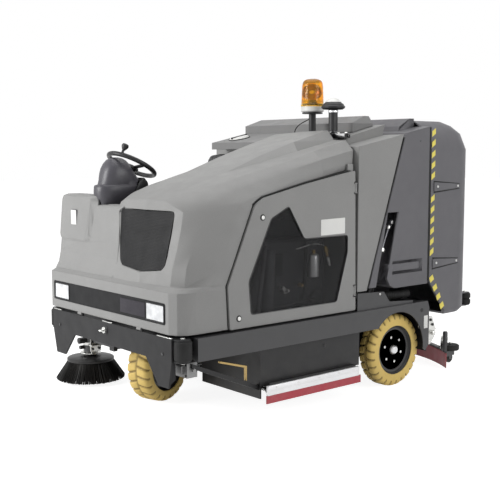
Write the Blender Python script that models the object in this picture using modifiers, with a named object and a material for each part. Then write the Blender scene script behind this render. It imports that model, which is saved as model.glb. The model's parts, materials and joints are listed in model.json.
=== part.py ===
"""Ride-on sweeper-scrubber: one front steered wheel, two rear wheels, hinged hood,
glazed engine door, tipping debris container, scrub deck, side brush and rear squeegee.

Metres, Z up. All pieces are placed in the machine's own frame, with x to the
machine's left, y back from the front bumper's face and z up from the floor. They hang
from one empty, which carries them to the middle of the machine's box at the end."""

import math

import bmesh
import bpy
from mathutils import Matrix, Vector

# Clearances
SEAT = 0.0003          # between two pieces that rest on each other
PIN_PLAY = 0.0005      # between a pin and the eye that turns on it
RUN = 0.006            # between pieces that move past each other

# Chassis
BODY_HALF = 0.650      # outer face of the door, the tank and the container
BEAM_OUT = BODY_HALF + 0.015   # outer face of a side beam from the centre plane
BEAM_THICK = 0.040
BEAM_SKIN = 0.006
BEAM_TOP = 0.515
BEAM_LOW = 0.396
BEAM_FRONT = 0.113
BEAM_REAR = 1.903
RAIL_X = 0.365
RAIL_WIDE = 0.050
RAIL_LOW = 0.422
FLOOR_PLATE = 0.008
FLOOR_REAR = 1.350

# Bumper and corner rollers
BUMPER_HALF = 0.5965
BUMPER_SKIN = 0.010
BUMPER_DEEP = 0.100
FLAP_LOW = 0.262
ROLLER_X = 0.622
ROLLER_Y = 0.052
ROLLER_R = 0.046
ROLLER_PIN_R = 0.009

# Wheels
FRONT_WHEEL_X = -0.100
FRONT_WHEEL_Y = 0.403
FRONT_WHEEL_R = 0.205
FRONT_WHEEL_WIDE = 0.150
STEER_IN_PHOTO = math.radians(17.0)
REAR_WHEEL_Y = 1.683
REAR_WHEEL_R = 0.224
REAR_WHEEL_WIDE = 0.112
REAR_WHEEL_OUT = 0.600
RIM_SHARE = 0.755
AXLE_R = 0.030

# Hood
HOOD_LOW = 0.530
HOOD_WALL = 0.012
HOOD_LEFT = 0.640
HOOD_RIGHT = -0.655
HOOD_INNER = -0.085    # the hood's wall beside the driver
HOOD_REAR = 1.262
BAND_TOP = 0.740
BAND_FRONT = 0.010
FACE_FRONT = 0.075     # upper front face

HOOD_HINGES = (-0.300, 0.300)
HOOD_HINGE_Y = 0.012
HOOD_HINGE_Z = 0.5245

GRILLE_OUTLINE = [(-0.018, 1.119), (0.419, 1.119), (0.416, 0.860), (0.400, 0.842), (0.237, 0.822), (0.060, 0.838), (0.036, 0.855),
                  (0.014, 0.930)]

# Engine door
DOOR_OUT = BODY_HALF
DOOR_THICK = 0.016
DOOR_GAP = 0.008
DOOR_AXIS_X = 0.646
DOOR_AXIS_Y = 1.256
DOOR_HINGES = (0.640, 1.230)
DOOR_OUTLINE = [(0.329, 0.527), (0.316, 0.752), (0.497, 1.161), (0.560, 1.195),
                (0.860, 1.260), (1.248, 1.329), (1.262, 0.527)]
WINDOW_OUTLINE = [(0.470, 0.592), (0.455, 0.765), (0.610, 1.085), (0.735, 1.145),
                  (0.850, 0.965), (1.190, 0.965), (1.190, 0.870), (1.105, 0.592)]

# Tank behind the engine and the seat
TANK_HALF = BODY_HALF
TANK_LOW = 0.630
TANK_FRONT = 1.276
TANK_TOP_FRONT = 1.520
TANK_FLAT_HALF = 0.500
LEAN_LOW_Y = 1.356     # the tank's leaning rear face, at its lower edge
LEAN_TOP_Y = 1.664
LEAN_TOP_Z = 1.538

# Beacon and intake on the tank
BEACON_X = 0.200
BEACON_Y = 1.345
INTAKE_X = 0.400
INTAKE_Y = 1.320
PAD_TOP = 1.535

# Container
BOX_HALF = BODY_HALF
BOX_GAP = 0.012        # between the tank's leaning face and the container
BOX_REAR = 1.912
BOX_LOW = 0.622
BOX_WALL = 0.018
BOX_RIDGE_Z = 1.640
TIP_Y = 1.715
TIP_Z = 1.520
POCKET_IN = BOX_HALF - 0.090
SKIN_IN = BOX_HALF - 0.016

# Lift cylinders
EYE_Y = 1.612
EYE_Z = 1.015
FOOT_Y = 1.412
FOOT_Z = 0.560
LIFT_X = BOX_HALF - 0.054
BARREL_R = 0.017
ROD_R = 0.010

# Container flap
FLAP_FRONT = BOX_REAR + 0.016
FLAP_REAR = 2.395
FLAP_TOP = 1.628
FLAP_BOTTOM = 0.404
FLAP_WALL = 0.014
FLAP_HINGE_X = 0.360
FLAP_HINGE_Y = FLAP_FRONT + 0.006
FLAP_HINGE_Z = FLAP_TOP - 0.010
REAR_ROLLER_X = 0.550
REAR_ROLLER_Y = 2.437

# Scrub deck
DECK_HALF = 0.620
DECK_FRONT = 0.560
DECK_REAR = 1.330
DECK_TOP = 0.388
DECK_LOW = 0.190
DECK_WALL = 0.010
BRUSH_R = 0.100
STRIP_OUT = DECK_HALF + 0.042
BLADE_LOW = 0.098

# Squeegee
SQUEEGEE_PIVOT_Y = 2.000
SQUEEGEE_PIVOT_Z = 0.300
SQUEEGEE_APEX = 2.470
SQUEEGEE_CURVE = 0.620
SQUEEGEE_HALF = 0.540
CASTOR_R = 0.034

# Side brush
SIDE_BRUSH_X = -0.750
SIDE_BRUSH_Y = 0.335
SIDE_BRUSH_R = 0.222
SIDE_DISC_R = 0.145
ARM_PIVOT_X = -0.420
ARM_PIVOT_Z = 0.270

# Driver's place
SEAT_X = -0.360
SEAT_TOP = 0.960
SEAT_REAR = 1.120
COLUMN_X = -0.280
COLUMN_Y = 0.230

# Reach of the whole machine, for its origin
REACH_FRONT = -0.040
REACH_REAR = SQUEEGEE_APEX + 0.012
REACH_LEFT = BEAM_OUT + 0.003
REACH_RIGHT = SIDE_BRUSH_X - SIDE_BRUSH_R


def clear_scene():
    for item in list(bpy.data.objects):
        bpy.data.objects.remove(item, do_unlink=True)


def collection(name):
    made = bpy.data.collections.new(name)
    bpy.context.scene.collection.children.link(made)
    return made


clear_scene()
PARTS = collection("ride_on_sweeper_scrubber")
TOOLS = collection("cutters")


def material(name, colour, rough, metal=0.0, alpha=1.0):
    made = bpy.data.materials.new(name)
    made.use_nodes = True
    shader = made.node_tree.nodes["Principled BSDF"]
    shader.inputs["Base Color"].default_value = (*colour, 1.0)
    shader.inputs["Roughness"].default_value = rough
    shader.inputs["Metallic"].default_value = metal
    shader.inputs["Alpha"].default_value = alpha
    return made


LIGHT_GREY = material("light_grey_moulding", (0.30, 0.30, 0.29), 0.55)
DARK_GREY = material("dark_grey_moulding", (0.12, 0.12, 0.13), 0.50)
ANTHRACITE = material("anthracite_paint", (0.045, 0.045, 0.048), 0.45)
BLACK = material("black_plastic", (0.012, 0.012, 0.013), 0.40)
TYRE = material("tan_tyre", (0.74, 0.53, 0.20), 0.75)
RED = material("red_rubber", (0.48, 0.05, 0.07), 0.45)
ALUMINIUM = material("aluminium", (0.70, 0.70, 0.71), 0.30, 1.0)
ZINC = material("zinc_plate", (0.65, 0.65, 0.64), 0.32, 1.0)
AMBER = material("amber_lens", (0.95, 0.42, 0.02), 0.10, 0.0, 0.7)
WHITE = material("white_plastic", (0.80, 0.80, 0.78), 0.35)
SMOKED = material("smoked_pane", (0.01, 0.01, 0.012), 0.08, 0.0, 0.5)
CAST = material("cast_metal", (0.20, 0.20, 0.20), 0.5, 0.6)


def empty(name, place=(0, 0, 0), parent=None):
    made = bpy.data.objects.new(name, None)
    made.location = place
    PARTS.objects.link(made)
    if parent is not None:
        made.parent = parent
    bpy.context.view_layer.update()
    return made


MACHINE = empty("machine")


def pivot(name, place, parent=None):
    """An empty on a joint's axis; place is in the machine's frame."""
    made = bpy.data.objects.new(name, None)
    PARTS.objects.link(made)
    made.location = place
    bpy.context.view_layer.update()
    attach(made, parent or MACHINE)
    return made


def attach(piece, parent):
    piece.parent = parent
    piece.matrix_parent_inverse = parent.matrix_world.inverted()
    bpy.context.view_layer.update()


def set_origin(piece, place):
    """Moves a piece's origin to a point and leaves its shape where it is."""
    piece.data.transform(Matrix.Translation(-Vector(place)))
    piece.location = Vector(piece.location) + Vector(place)


def add(name, mesh, mat, parent=None, tool=False):
    made = bpy.data.objects.new(name, mesh)
    (TOOLS if tool else PARTS).objects.link(made)
    if tool:
        made.hide_render = True
        made.display_type = "WIRE"
    elif mat is not None:
        mesh.materials.append(mat)
    bpy.context.view_layer.update()
    where = parent or MACHINE
    if where.type == "EMPTY" and where is not MACHINE:
        set_origin(made, where.matrix_world.translation)
    attach(made, where)
    return made


def finish_mesh(bm, name):
    bmesh.ops.recalc_face_normals(bm, faces=bm.faces)
    mesh = bpy.data.meshes.new(name)
    bm.to_mesh(mesh)
    bm.free()
    return mesh


def box_mesh(name, low, high):
    bm = bmesh.new()
    bmesh.ops.create_cube(bm, size=1.0)
    size = [b - a for a, b in zip(low, high)]
    middle = [(a + b) / 2 for a, b in zip(low, high)]
    bmesh.ops.scale(bm, vec=size, verts=bm.verts)
    bmesh.ops.translate(bm, vec=middle, verts=bm.verts)
    return finish_mesh(bm, name)


def box(name, low, high, mat=None, parent=None, tool=False, bevel=0.0, segments=2):
    made = add(name, box_mesh(name, low, high), mat, parent, tool)
    if bevel:
        soften(made, bevel, segments)
    return made


def soften(piece, width, segments=2, angle=30):
    edge = piece.modifiers.new("edges", "BEVEL")
    edge.width = width
    edge.segments = segments
    edge.limit_method = "ANGLE"
    edge.angle_limit = math.radians(angle)
    edge.use_clamp_overlap = True


def rod_mesh(name, a, b, radius, sides=24, radius_b=None):
    """A cylinder or cone from point a to point b."""
    a, b = Vector(a), Vector(b)
    bm = bmesh.new()
    bmesh.ops.create_cone(bm, cap_ends=True, cap_tris=False, segments=sides, radius1=radius,
                          radius2=radius if radius_b is None else radius_b, depth=(b - a).length)
    turn = Vector((0, 0, 1)).rotation_difference(b - a).to_matrix().to_4x4()
    bmesh.ops.transform(bm, matrix=Matrix.Translation((a + b) / 2) @ turn, verts=bm.verts)
    return finish_mesh(bm, name)


def rod(name, a, b, radius, mat=None, parent=None, tool=False, sides=24, radius_b=None):
    return add(name, rod_mesh(name, a, b, radius, sides, radius_b), mat, parent, tool)


def rounded(points, radius, steps=4):
    """An outline with its corners turned into arcs; radius is one value or one per corner."""
    count = len(points)
    radii = [radius] * count if isinstance(radius, (int, float)) else radius
    out = []
    for i, here in enumerate(points):
        here = Vector(here)
        before = Vector(points[i - 1]) - here
        after = Vector(points[(i + 1) % count]) - here
        if radii[i] <= 0:
            out.append(tuple(here))
            continue
        half = before.angle(after) / 2
        reach = min(radii[i] / math.tan(half), 0.48 * before.length, 0.48 * after.length)
        real = reach * math.tan(half)
        middle = here + (before.normalized() + after.normalized()).normalized() * (real / math.sin(half))
        start = here + before.normalized() * reach - middle
        end = here + after.normalized() * reach - middle
        sweep = start.angle_signed(end)
        for k in range(steps + 1):
            turn = Matrix.Rotation(-sweep * k / steps, 2)
            out.append(tuple(middle + turn @ start))
    return out


def prism_mesh(name, outline, axis, low, high):
    """An outline in the plane across an axis, thickened from low to high along it.
    The outline's pairs are (y, z) for x, (x, z) for y and (x, y) for z."""
    curve = bpy.data.curves.new(name, "CURVE")
    curve.dimensions = "2D"
    curve.fill_mode = "BOTH"
    curve.extrude = (high - low) / 2
    line = curve.splines.new("POLY")
    line.points.add(len(outline) - 1)
    for point, (u, v) in zip(line.points, outline):
        point.co = (u, v, 0, 1)
    line.use_cyclic_u = True
    holder = bpy.data.objects.new(name, curve)
    TOOLS.objects.link(holder)
    bpy.context.view_layer.update()
    graph = bpy.context.evaluated_depsgraph_get()
    mesh = bpy.data.meshes.new_from_object(holder.evaluated_get(graph))
    bpy.data.objects.remove(holder, do_unlink=True)
    bm = bmesh.new()
    bm.from_mesh(mesh)
    bmesh.ops.remove_doubles(bm, verts=bm.verts, dist=0.00002)
    bmesh.ops.dissolve_limit(bm, angle_limit=0.002, verts=bm.verts, edges=bm.edges)
    frames = {
        "x": Matrix(((0, 0, 1), (1, 0, 0), (0, 1, 0))),
        "y": Matrix(((1, 0, 0), (0, 0, 1), (0, 1, 0))),
        "z": Matrix.Identity(3),
    }
    bmesh.ops.transform(bm, matrix=frames[axis].to_4x4(), verts=bm.verts)
    shift = {"x": (1, 0, 0), "y": (0, 1, 0), "z": (0, 0, 1)}[axis]
    bmesh.ops.translate(bm, vec=Vector(shift) * (low + high) / 2, verts=bm.verts)
    return finish_mesh(bm, name)


def prism(name, outline, axis, low, high, mat=None, parent=None, tool=False):
    return add(name, prism_mesh(name, outline, axis, low, high), mat, parent, tool)


def loft_mesh(name, loops):
    """A closed solid through loops with the same number of points."""
    bm = bmesh.new()
    rings = [[bm.verts.new(p) for p in loop] for loop in loops]
    count = len(rings[0])
    for near, far in zip(rings, rings[1:]):
        for i in range(count):
            j = (i + 1) % count
            bm.faces.new((near[i], near[j], far[j], far[i]))
    bm.faces.new(list(reversed(rings[0])))
    bm.faces.new(rings[-1])
    return finish_mesh(bm, name)


def loft(name, loops, mat=None, parent=None, tool=False):
    return add(name, loft_mesh(name, loops), mat, parent, tool)


def turned(name, profile, centre, axis, mat=None, parent=None, tool=False, steps=32):
    """A profile of (radius, height) pairs turned about an axis through a point.
    Profiles run from the top's middle down the outer side to the bottom's middle."""
    bm = bmesh.new()
    rings = []
    for r, h in profile:
        if r < 1e-6:
            rings.append([bm.verts.new((0, 0, h))])
        else:
            rings.append([bm.verts.new((r * math.cos(2 * math.pi * k / steps),
                                        r * math.sin(2 * math.pi * k / steps), h))
                          for k in range(steps)])
    closed = len(rings[0]) > 1
    pairs = list(zip(rings, rings[1:]))
    if closed:
        pairs.append((rings[-1], rings[0]))
    for near, far in pairs:
        for k in range(steps):
            m = (k + 1) % steps
            corner = [near[k % len(near)], near[m % len(near)], far[m % len(far)], far[k % len(far)]]
            unique = list(dict.fromkeys(corner))
            if len(unique) > 2:
                bm.faces.new(unique)
    turn = Vector((0, 0, 1)).rotation_difference(Vector(axis)).to_matrix().to_4x4()
    bmesh.ops.transform(bm, matrix=Matrix.Translation(centre) @ turn, verts=bm.verts)
    return add(name, finish_mesh(bm, name), mat, parent, tool)


def tube_mesh(name, points, radius, sides=3, smooth=True):
    """A round tube along points, with welded caps."""
    curve = bpy.data.curves.new(name, "CURVE")
    curve.dimensions = "3D"
    curve.bevel_depth = radius
    curve.bevel_resolution = sides
    curve.use_fill_caps = True
    line = curve.splines.new("POLY")
    line.points.add(len(points) - 1)
    for point, place in zip(line.points, points):
        point.co = (*place, 1)
    holder = bpy.data.objects.new(name, curve)
    TOOLS.objects.link(holder)
    bpy.context.view_layer.update()
    graph = bpy.context.evaluated_depsgraph_get()
    mesh = bpy.data.meshes.new_from_object(holder.evaluated_get(graph))
    bpy.data.objects.remove(holder, do_unlink=True)
    bm = bmesh.new()
    bm.from_mesh(mesh)
    bmesh.ops.remove_doubles(bm, verts=bm.verts, dist=0.00002)
    return finish_mesh(bm, name)


def tube(name, points, radius, mat=None, parent=None, tool=False, sides=3):
    return add(name, tube_mesh(name, points, radius, sides), mat, parent, tool)


def combine(piece, other, how):
    step = piece.modifiers.new(other.name, "BOOLEAN")
    step.operation = how
    step.solver = "EXACT"
    step.object = other


def cut(piece, *others):
    for other in others:
        combine(piece, other, "DIFFERENCE")


def join(piece, *others):
    for other in others:
        combine(piece, other, "UNION")


def smooth_through(points, count):
    """Evenly spread points on a smooth curve through a few chosen ones."""
    points = [Vector(p) for p in points]
    ends = [2 * points[0] - points[1]] + points + [2 * points[-1] - points[-2]]
    out = []
    spans = len(points) - 1
    for k in range(count + 1):
        t = spans * k / count
        i = min(int(t), spans - 1)
        f = t - i
        a, b, c, d = ends[i:i + 4]
        out.append(0.5 * (2 * b + (c - a) * f + (2 * a - 5 * b + 4 * c - d) * f ** 2
                          + (3 * b - a - 3 * c + d) * f ** 3))
    return [tuple(p) for p in out]


def along(table, at):
    """A value read from (position, value) pairs by straight lines."""
    for (a, low), (b, high) in zip(table, table[1:]):
        if at <= b:
            return low + (high - low) * max(0.0, (at - a)) / (b - a)
    return table[-1][1]


# Chassis

def chassis_frame():
    """Two rails, cross members, the floor plate and the rear axle's brackets."""
    inner = BEAM_OUT - BEAM_THICK - SEAT
    plate_low = BEAM_TOP - FLOOR_PLATE - 0.006
    plate_top = plate_low + FLOOR_PLATE
    frame = box("chassis_frame", (-inner, BUMPER_DEEP + 0.02, plate_low), (inner, FLOOR_REAR, plate_top), ANTHRACITE)
    for side in (-1, 1):
        x = side * RAIL_X
        join(frame, box("rail", (x - RAIL_WIDE / 2, BUMPER_SKIN + SEAT, RAIL_LOW),
                        (x + RAIL_WIDE / 2, BEAM_REAR + 0.03, plate_low + 0.002), tool=True))
        join(frame, box("axle_bracket", (x - 0.012, REAR_WHEEL_Y - 0.07, REAR_WHEEL_R + AXLE_R + SEAT),
                        (x + 0.012, REAR_WHEEL_Y + 0.07, RAIL_LOW + 0.01), tool=True))
    for y in (0.155, 1.340, BEAM_REAR):
        join(frame, box("cross_member", (-inner, y - 0.022, RAIL_LOW + 0.004),
                        (inner, y + 0.022, plate_low + 0.004), tool=True))
    join(frame, rod("steering_head", (FRONT_WHEEL_X, FRONT_WHEEL_Y, 0.480),
                    (FRONT_WHEEL_X, FRONT_WHEEL_Y, 0.520), 0.075, tool=True))
    cut(frame, rod("steering_bore", (FRONT_WHEEL_X, FRONT_WHEEL_Y, 0.400),
                   (FRONT_WHEEL_X, FRONT_WHEEL_Y, 0.600), 0.030 + PIN_PLAY, tool=True))
    hanger_y = SQUEEGEE_PIVOT_Y - 0.030
    join(frame, box("squeegee_hanger", (-0.115, BEAM_REAR - 0.01, SQUEEGEE_PIVOT_Z - 0.03),
                    (0.115, hanger_y, RAIL_LOW + 0.03), tool=True))
    for side in (-1, 1):
        x = side * (0.100)
        join(frame, box("hanger_ear", (x - 0.010, hanger_y - 0.004, SQUEEGEE_PIVOT_Z - 0.025),
                        (x + 0.010, SQUEEGEE_PIVOT_Y + 0.020, SQUEEGEE_PIVOT_Z + 0.025), tool=True))
    join(frame, box("brush_hanger", (ARM_PIVOT_X - 0.015, SIDE_BRUSH_Y - 0.055, ARM_PIVOT_Z - 0.020),
                    (ARM_PIVOT_X + 0.035, SIDE_BRUSH_Y - 0.030, RAIL_LOW + 0.05), tool=True))
    join(frame, box("brush_hanger", (ARM_PIVOT_X - 0.015, SIDE_BRUSH_Y + 0.030, ARM_PIVOT_Z - 0.020),
                    (ARM_PIVOT_X + 0.035, SIDE_BRUSH_Y + 0.055, RAIL_LOW + 0.05), tool=True))
    join(frame, box("brush_bridge", (ARM_PIVOT_X - 0.015, SIDE_BRUSH_Y - 0.055, RAIL_LOW),
                    (-RAIL_X, SIDE_BRUSH_Y + 0.055, RAIL_LOW + 0.052), tool=True))
    return frame


def side_beam(name, side):
    """A folded side beam, its skin drawn down round the rear wheel, with the plate above it."""
    skin_line = [(BEAM_FRONT, BEAM_TOP), (BEAM_FRONT, BEAM_LOW), (1.395, BEAM_LOW)]
    centre_y, centre_z, arch = 1.625, 0.235, 0.240
    start = math.asin((BEAM_LOW - centre_z) / arch)
    for k in range(17):
        angle = math.pi - start - (math.pi - start + 0.05) * k / 16
        skin_line.append((centre_y + arch * math.cos(angle), centre_z + arch * math.sin(angle)))
    skin_line += [(1.885, 0.205), (1.918, 0.238), (1.918, 0.475), (BEAM_REAR, BEAM_TOP)]
    lo, hi = sorted((side * (BEAM_OUT - BEAM_SKIN), side * BEAM_OUT))
    beam = prism(name, skin_line, "x", lo, hi, ANTHRACITE)
    lo, hi = sorted((side * (BEAM_OUT - BEAM_THICK), side * (BEAM_OUT - BEAM_SKIN / 2)))
    join(beam, box("channel", (lo, BEAM_FRONT, BEAM_LOW), (hi, 1.395, BEAM_TOP), tool=True))
    lo, hi = sorted((side * (BEAM_OUT - BEAM_THICK), side * (BEAM_OUT - BEAM_SKIN / 2)))
    join(beam, box("channel", (lo, 1.390, 0.483), (hi, BEAM_REAR, BEAM_TOP), tool=True))
    lo, hi = sorted((side * 0.6435, side * 0.6497))
    plate = [(1.280, 0.505), (1.280, 0.620), (1.508, 0.610), (1.560, 0.545), (1.778, 0.530), (1.778, 0.505)]
    join(beam, prism("side_plate", plate, "x", lo, hi, tool=True))
    lo, hi = sorted((side * (LIFT_X + 0.0215), side * 0.6465))
    join(beam, rod("foot_boss", (lo, FOOT_Y, FOOT_Z), (hi, FOOT_Y, FOOT_Z), 0.016, tool=True))
    return beam


def front_bumper():
    """A folded plate with two hanging flaps and the ears that carry the corner rollers."""
    face = [(-BUMPER_HALF, BEAM_TOP), (BUMPER_HALF, BEAM_TOP), (BUMPER_HALF, BEAM_LOW),
            (0.569, FLAP_LOW), (0.481, FLAP_LOW), (0.370, BEAM_LOW - 0.002), (-0.351, BEAM_LOW - 0.002),
            (-0.464, FLAP_LOW), (-0.562, FLAP_LOW), (-BUMPER_HALF, BEAM_LOW)]
    bumper = prism("front_bumper", face, "y", 0.0, BUMPER_SKIN, ANTHRACITE)
    shelf = []
    for side in (1, -1):
        arc = []
        for k in range(9):
            angle = math.radians(-90 + 180 * k / 8)
            arc.append((side * (ROLLER_X + 0.038 * math.cos(angle)), ROLLER_Y + 0.038 * math.sin(angle)))
        end = [(side * (BUMPER_HALF - 0.05), 0.003)] + arc + [(side * (BUMPER_HALF - 0.05), BUMPER_DEEP)]
        shelf += end if side > 0 else end[::-1]
    for low in (BEAM_LOW + 0.0007, BEAM_TOP - 0.0087):
        join(bumper, prism("shelf", shelf, "z", low, low + 0.008, tool=True))
    for x in HOOD_HINGES:
        for low, high in ((-0.030, -0.020), (0.020, 0.030)):
            join(bumper, box("hood_ear", (x + low, HOOD_HINGE_Y - 0.0048, BEAM_TOP - 0.004),
                             (x + high, HOOD_HINGE_Y + 0.0048, HOOD_HINGE_Z), tool=True))
            join(bumper, rod("hood_ear_round", (x + low, HOOD_HINGE_Y, HOOD_HINGE_Z), (x + high, HOOD_HINGE_Y, HOOD_HINGE_Z), 0.0050,
                             tool=True, sides=16))
        join(bumper, rod("hood_pin", (x - 0.025, HOOD_HINGE_Y, HOOD_HINGE_Z), (x + 0.025, HOOD_HINGE_Y, HOOD_HINGE_Z), 0.004,
                         tool=True, sides=12))
    for side in (-1, 1):
        x = side * ROLLER_X
        join(bumper, rod("roller_pin", (x, ROLLER_Y, BEAM_LOW + 0.004), (x, ROLLER_Y, BEAM_TOP - 0.004),
                         ROLLER_PIN_R, tool=True, sides=16))
        lo, hi = sorted((side * (BUMPER_HALF - 0.008), side * BUMPER_HALF))
        fold = [(0.002, BEAM_LOW + 0.005), (0.002, FLAP_LOW + 0.01), (0.045, 0.300), (0.045, BEAM_LOW + 0.005)]
        lo, hi = sorted((side * 0.5600, side * 0.5680))
        join(bumper, prism("flap_return", fold, "x", lo, hi, tool=True))
    return bumper


def roller(name, x, y, low, high, radius, bore, parent=None, mat=None):
    """A bumper roller with a bore for its pin."""
    edge = 0.006
    profile = [(bore, high), (radius - edge, high), (radius, high - edge), (radius, low + edge),
               (radius - edge, low), (bore, low)]
    return turned(name, profile, (x, y, 0), (0, 0, 1), mat or BLACK, parent, steps=24)


def tow_eye():
    """A lifting eye that stands out of the bumper's face."""
    eye = rod("tow_eye", (-0.019, -SEAT, 0.472), (-0.019, -0.012, 0.472), 0.017, ZINC)
    ring = bpy.data.meshes.new("ring")
    bm = bmesh.new()
    major, minor, around, across = 0.013, 0.005, 16, 6
    rings = []
    for i in range(around):
        a = 2 * math.pi * i / around
        rings.append([bm.verts.new((-0.019 + (major + minor * math.cos(2 * math.pi * j / across)) * math.cos(a),
                                    -0.022 + (major + minor * math.cos(2 * math.pi * j / across)) * math.sin(a),
                                    0.472 + minor * math.sin(2 * math.pi * j / across)))
                      for j in range(across)])
    for i in range(around):
        for j in range(across):
            k, m = (i + 1) % around, (j + 1) % across
            bm.faces.new((rings[i][j], rings[i][m], rings[k][m], rings[k][j]))
    bmesh.ops.recalc_face_normals(bm, faces=bm.faces)
    bm.to_mesh(ring)
    bm.free()
    join(eye, add("ring", ring, None, tool=True))
    return eye


# Wheels

def tyre(name, centre, radius, wide, axis, parent, steps=36):
    """A solid tyre with a crowned tread and a notched shoulder left plain here."""
    inner = radius * RIM_SHARE
    half = wide / 2
    profile = [(inner, half - 0.012), (inner + 0.008, half), (radius - 0.022, half),
               (radius - 0.006, half - 0.012), (radius, half - 0.030), (radius, -half + 0.030),
               (radius - 0.006, -half + 0.012), (radius - 0.022, -half), (inner + 0.008, -half),
               (inner, -half + 0.012)]
    return turned(name, profile, centre, axis, TYRE, parent, steps=steps)


def rim(name, centre, radius, wide, axis, parent, out, bore=0.0205):
    """A dished wheel disc with its bead seats; out is the side that shows, +1 or -1 along axis."""
    outer = radius * RIM_SHARE - SEAT
    half = wide / 2 - 0.010
    disc = half * 0.10
    profile = [(outer, half), (outer - 0.010, half), (outer - 0.022, disc + 0.030), (0.070, disc + 0.012),
               (0.062, disc + 0.022), (bore, disc + 0.018), (bore, disc - 0.012), (outer - 0.030, disc - 0.008),
               (outer - 0.014, -half), (outer, -half)]
    profile = [(r, h * out) for r, h in profile]
    return turned(name, profile, centre, axis, BLACK, parent, steps=36)


def front_fork(parent):
    """A single-sided fork with its steering stem."""
    x, y, r = FRONT_WHEEL_X, FRONT_WHEEL_Y, FRONT_WHEEL_R
    half = FRONT_WHEEL_WIDE / 2
    fork = rod("front_fork", (x, y, 0.428), (x, y, 0.452), 0.085, ANTHRACITE, parent, sides=32)
    join(fork, rod("stem", (x, y, 0.44), (x, y, 0.524), 0.030, parent=parent, tool=True))
    turn = Matrix.Translation((x, y, 0)) @ Matrix.Rotation(STEER_IN_PHOTO, 4, "Z")
    for side in (1, -1):
        cheek = [(-0.045, r - 0.045), (0.045, r - 0.045), (0.075, 0.452), (-0.075, 0.452)]
        lo, hi = sorted((side * (half + 0.010), side * (half + 0.022)))
        plate_mesh = prism_mesh("cheek", rounded(cheek, [0.03, 0.03, 0, 0]), "x", lo, hi)
        plate_mesh.transform(turn)
        join(fork, add("cheek", plate_mesh, None, parent, tool=True))
    crown = box_mesh("crown", (-half - 0.022, -0.075, 0.430), (half + 0.022, 0.075, 0.452))
    crown.transform(turn)
    join(fork, add("crown", crown, None, parent, tool=True))
    shaft = rod_mesh("shaft", (-half - 0.020, 0, r), (half + 0.020, 0, r), 0.020 - PIN_PLAY / 2, sides=20)
    shaft.transform(turn)
    join(fork, add("shaft", shaft, None, parent, tool=True))
    return fork


def wheels():
    steer = pivot("steer_pivot", (FRONT_WHEEL_X, FRONT_WHEEL_Y, FRONT_WHEEL_R))
    front_fork(steer)
    axis = (math.cos(STEER_IN_PHOTO), math.sin(STEER_IN_PHOTO), 0)
    hub = (FRONT_WHEEL_X, FRONT_WHEEL_Y, FRONT_WHEEL_R)
    spin = pivot("front_wheel_pivot", hub, steer)
    tyre("front_tyre", hub, FRONT_WHEEL_R, FRONT_WHEEL_WIDE, axis, spin)
    rim("front_rim", hub, FRONT_WHEEL_R, FRONT_WHEEL_WIDE, axis, spin, 1, 0.0205)
    for label, side in (("left", 1), ("right", -1)):
        hub = (side * (REAR_WHEEL_OUT - REAR_WHEEL_WIDE / 2), REAR_WHEEL_Y, REAR_WHEEL_R)
        spin = pivot("rear_wheel_pivot_" + label, hub)
        tyre("rear_tyre_" + label, hub, REAR_WHEEL_R, REAR_WHEEL_WIDE, (1, 0, 0), spin)
        rim("rear_rim_" + label, hub, REAR_WHEEL_R, REAR_WHEEL_WIDE, (1, 0, 0), spin, side, 0.0205)
    reach = REAR_WHEEL_OUT - REAR_WHEEL_WIDE / 2
    axle = rod("rear_axle", (-reach + 0.020, REAR_WHEEL_Y, REAR_WHEEL_R), (reach - 0.020, REAR_WHEEL_Y, REAR_WHEEL_R),
               AXLE_R, ANTHRACITE)
    join(axle, rod("stub", (-reach - 0.040, REAR_WHEEL_Y, REAR_WHEEL_R), (reach + 0.040, REAR_WHEEL_Y, REAR_WHEEL_R),
                   0.020 - PIN_PLAY / 2, tool=True, sides=20))


# Hood and engine door

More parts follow.
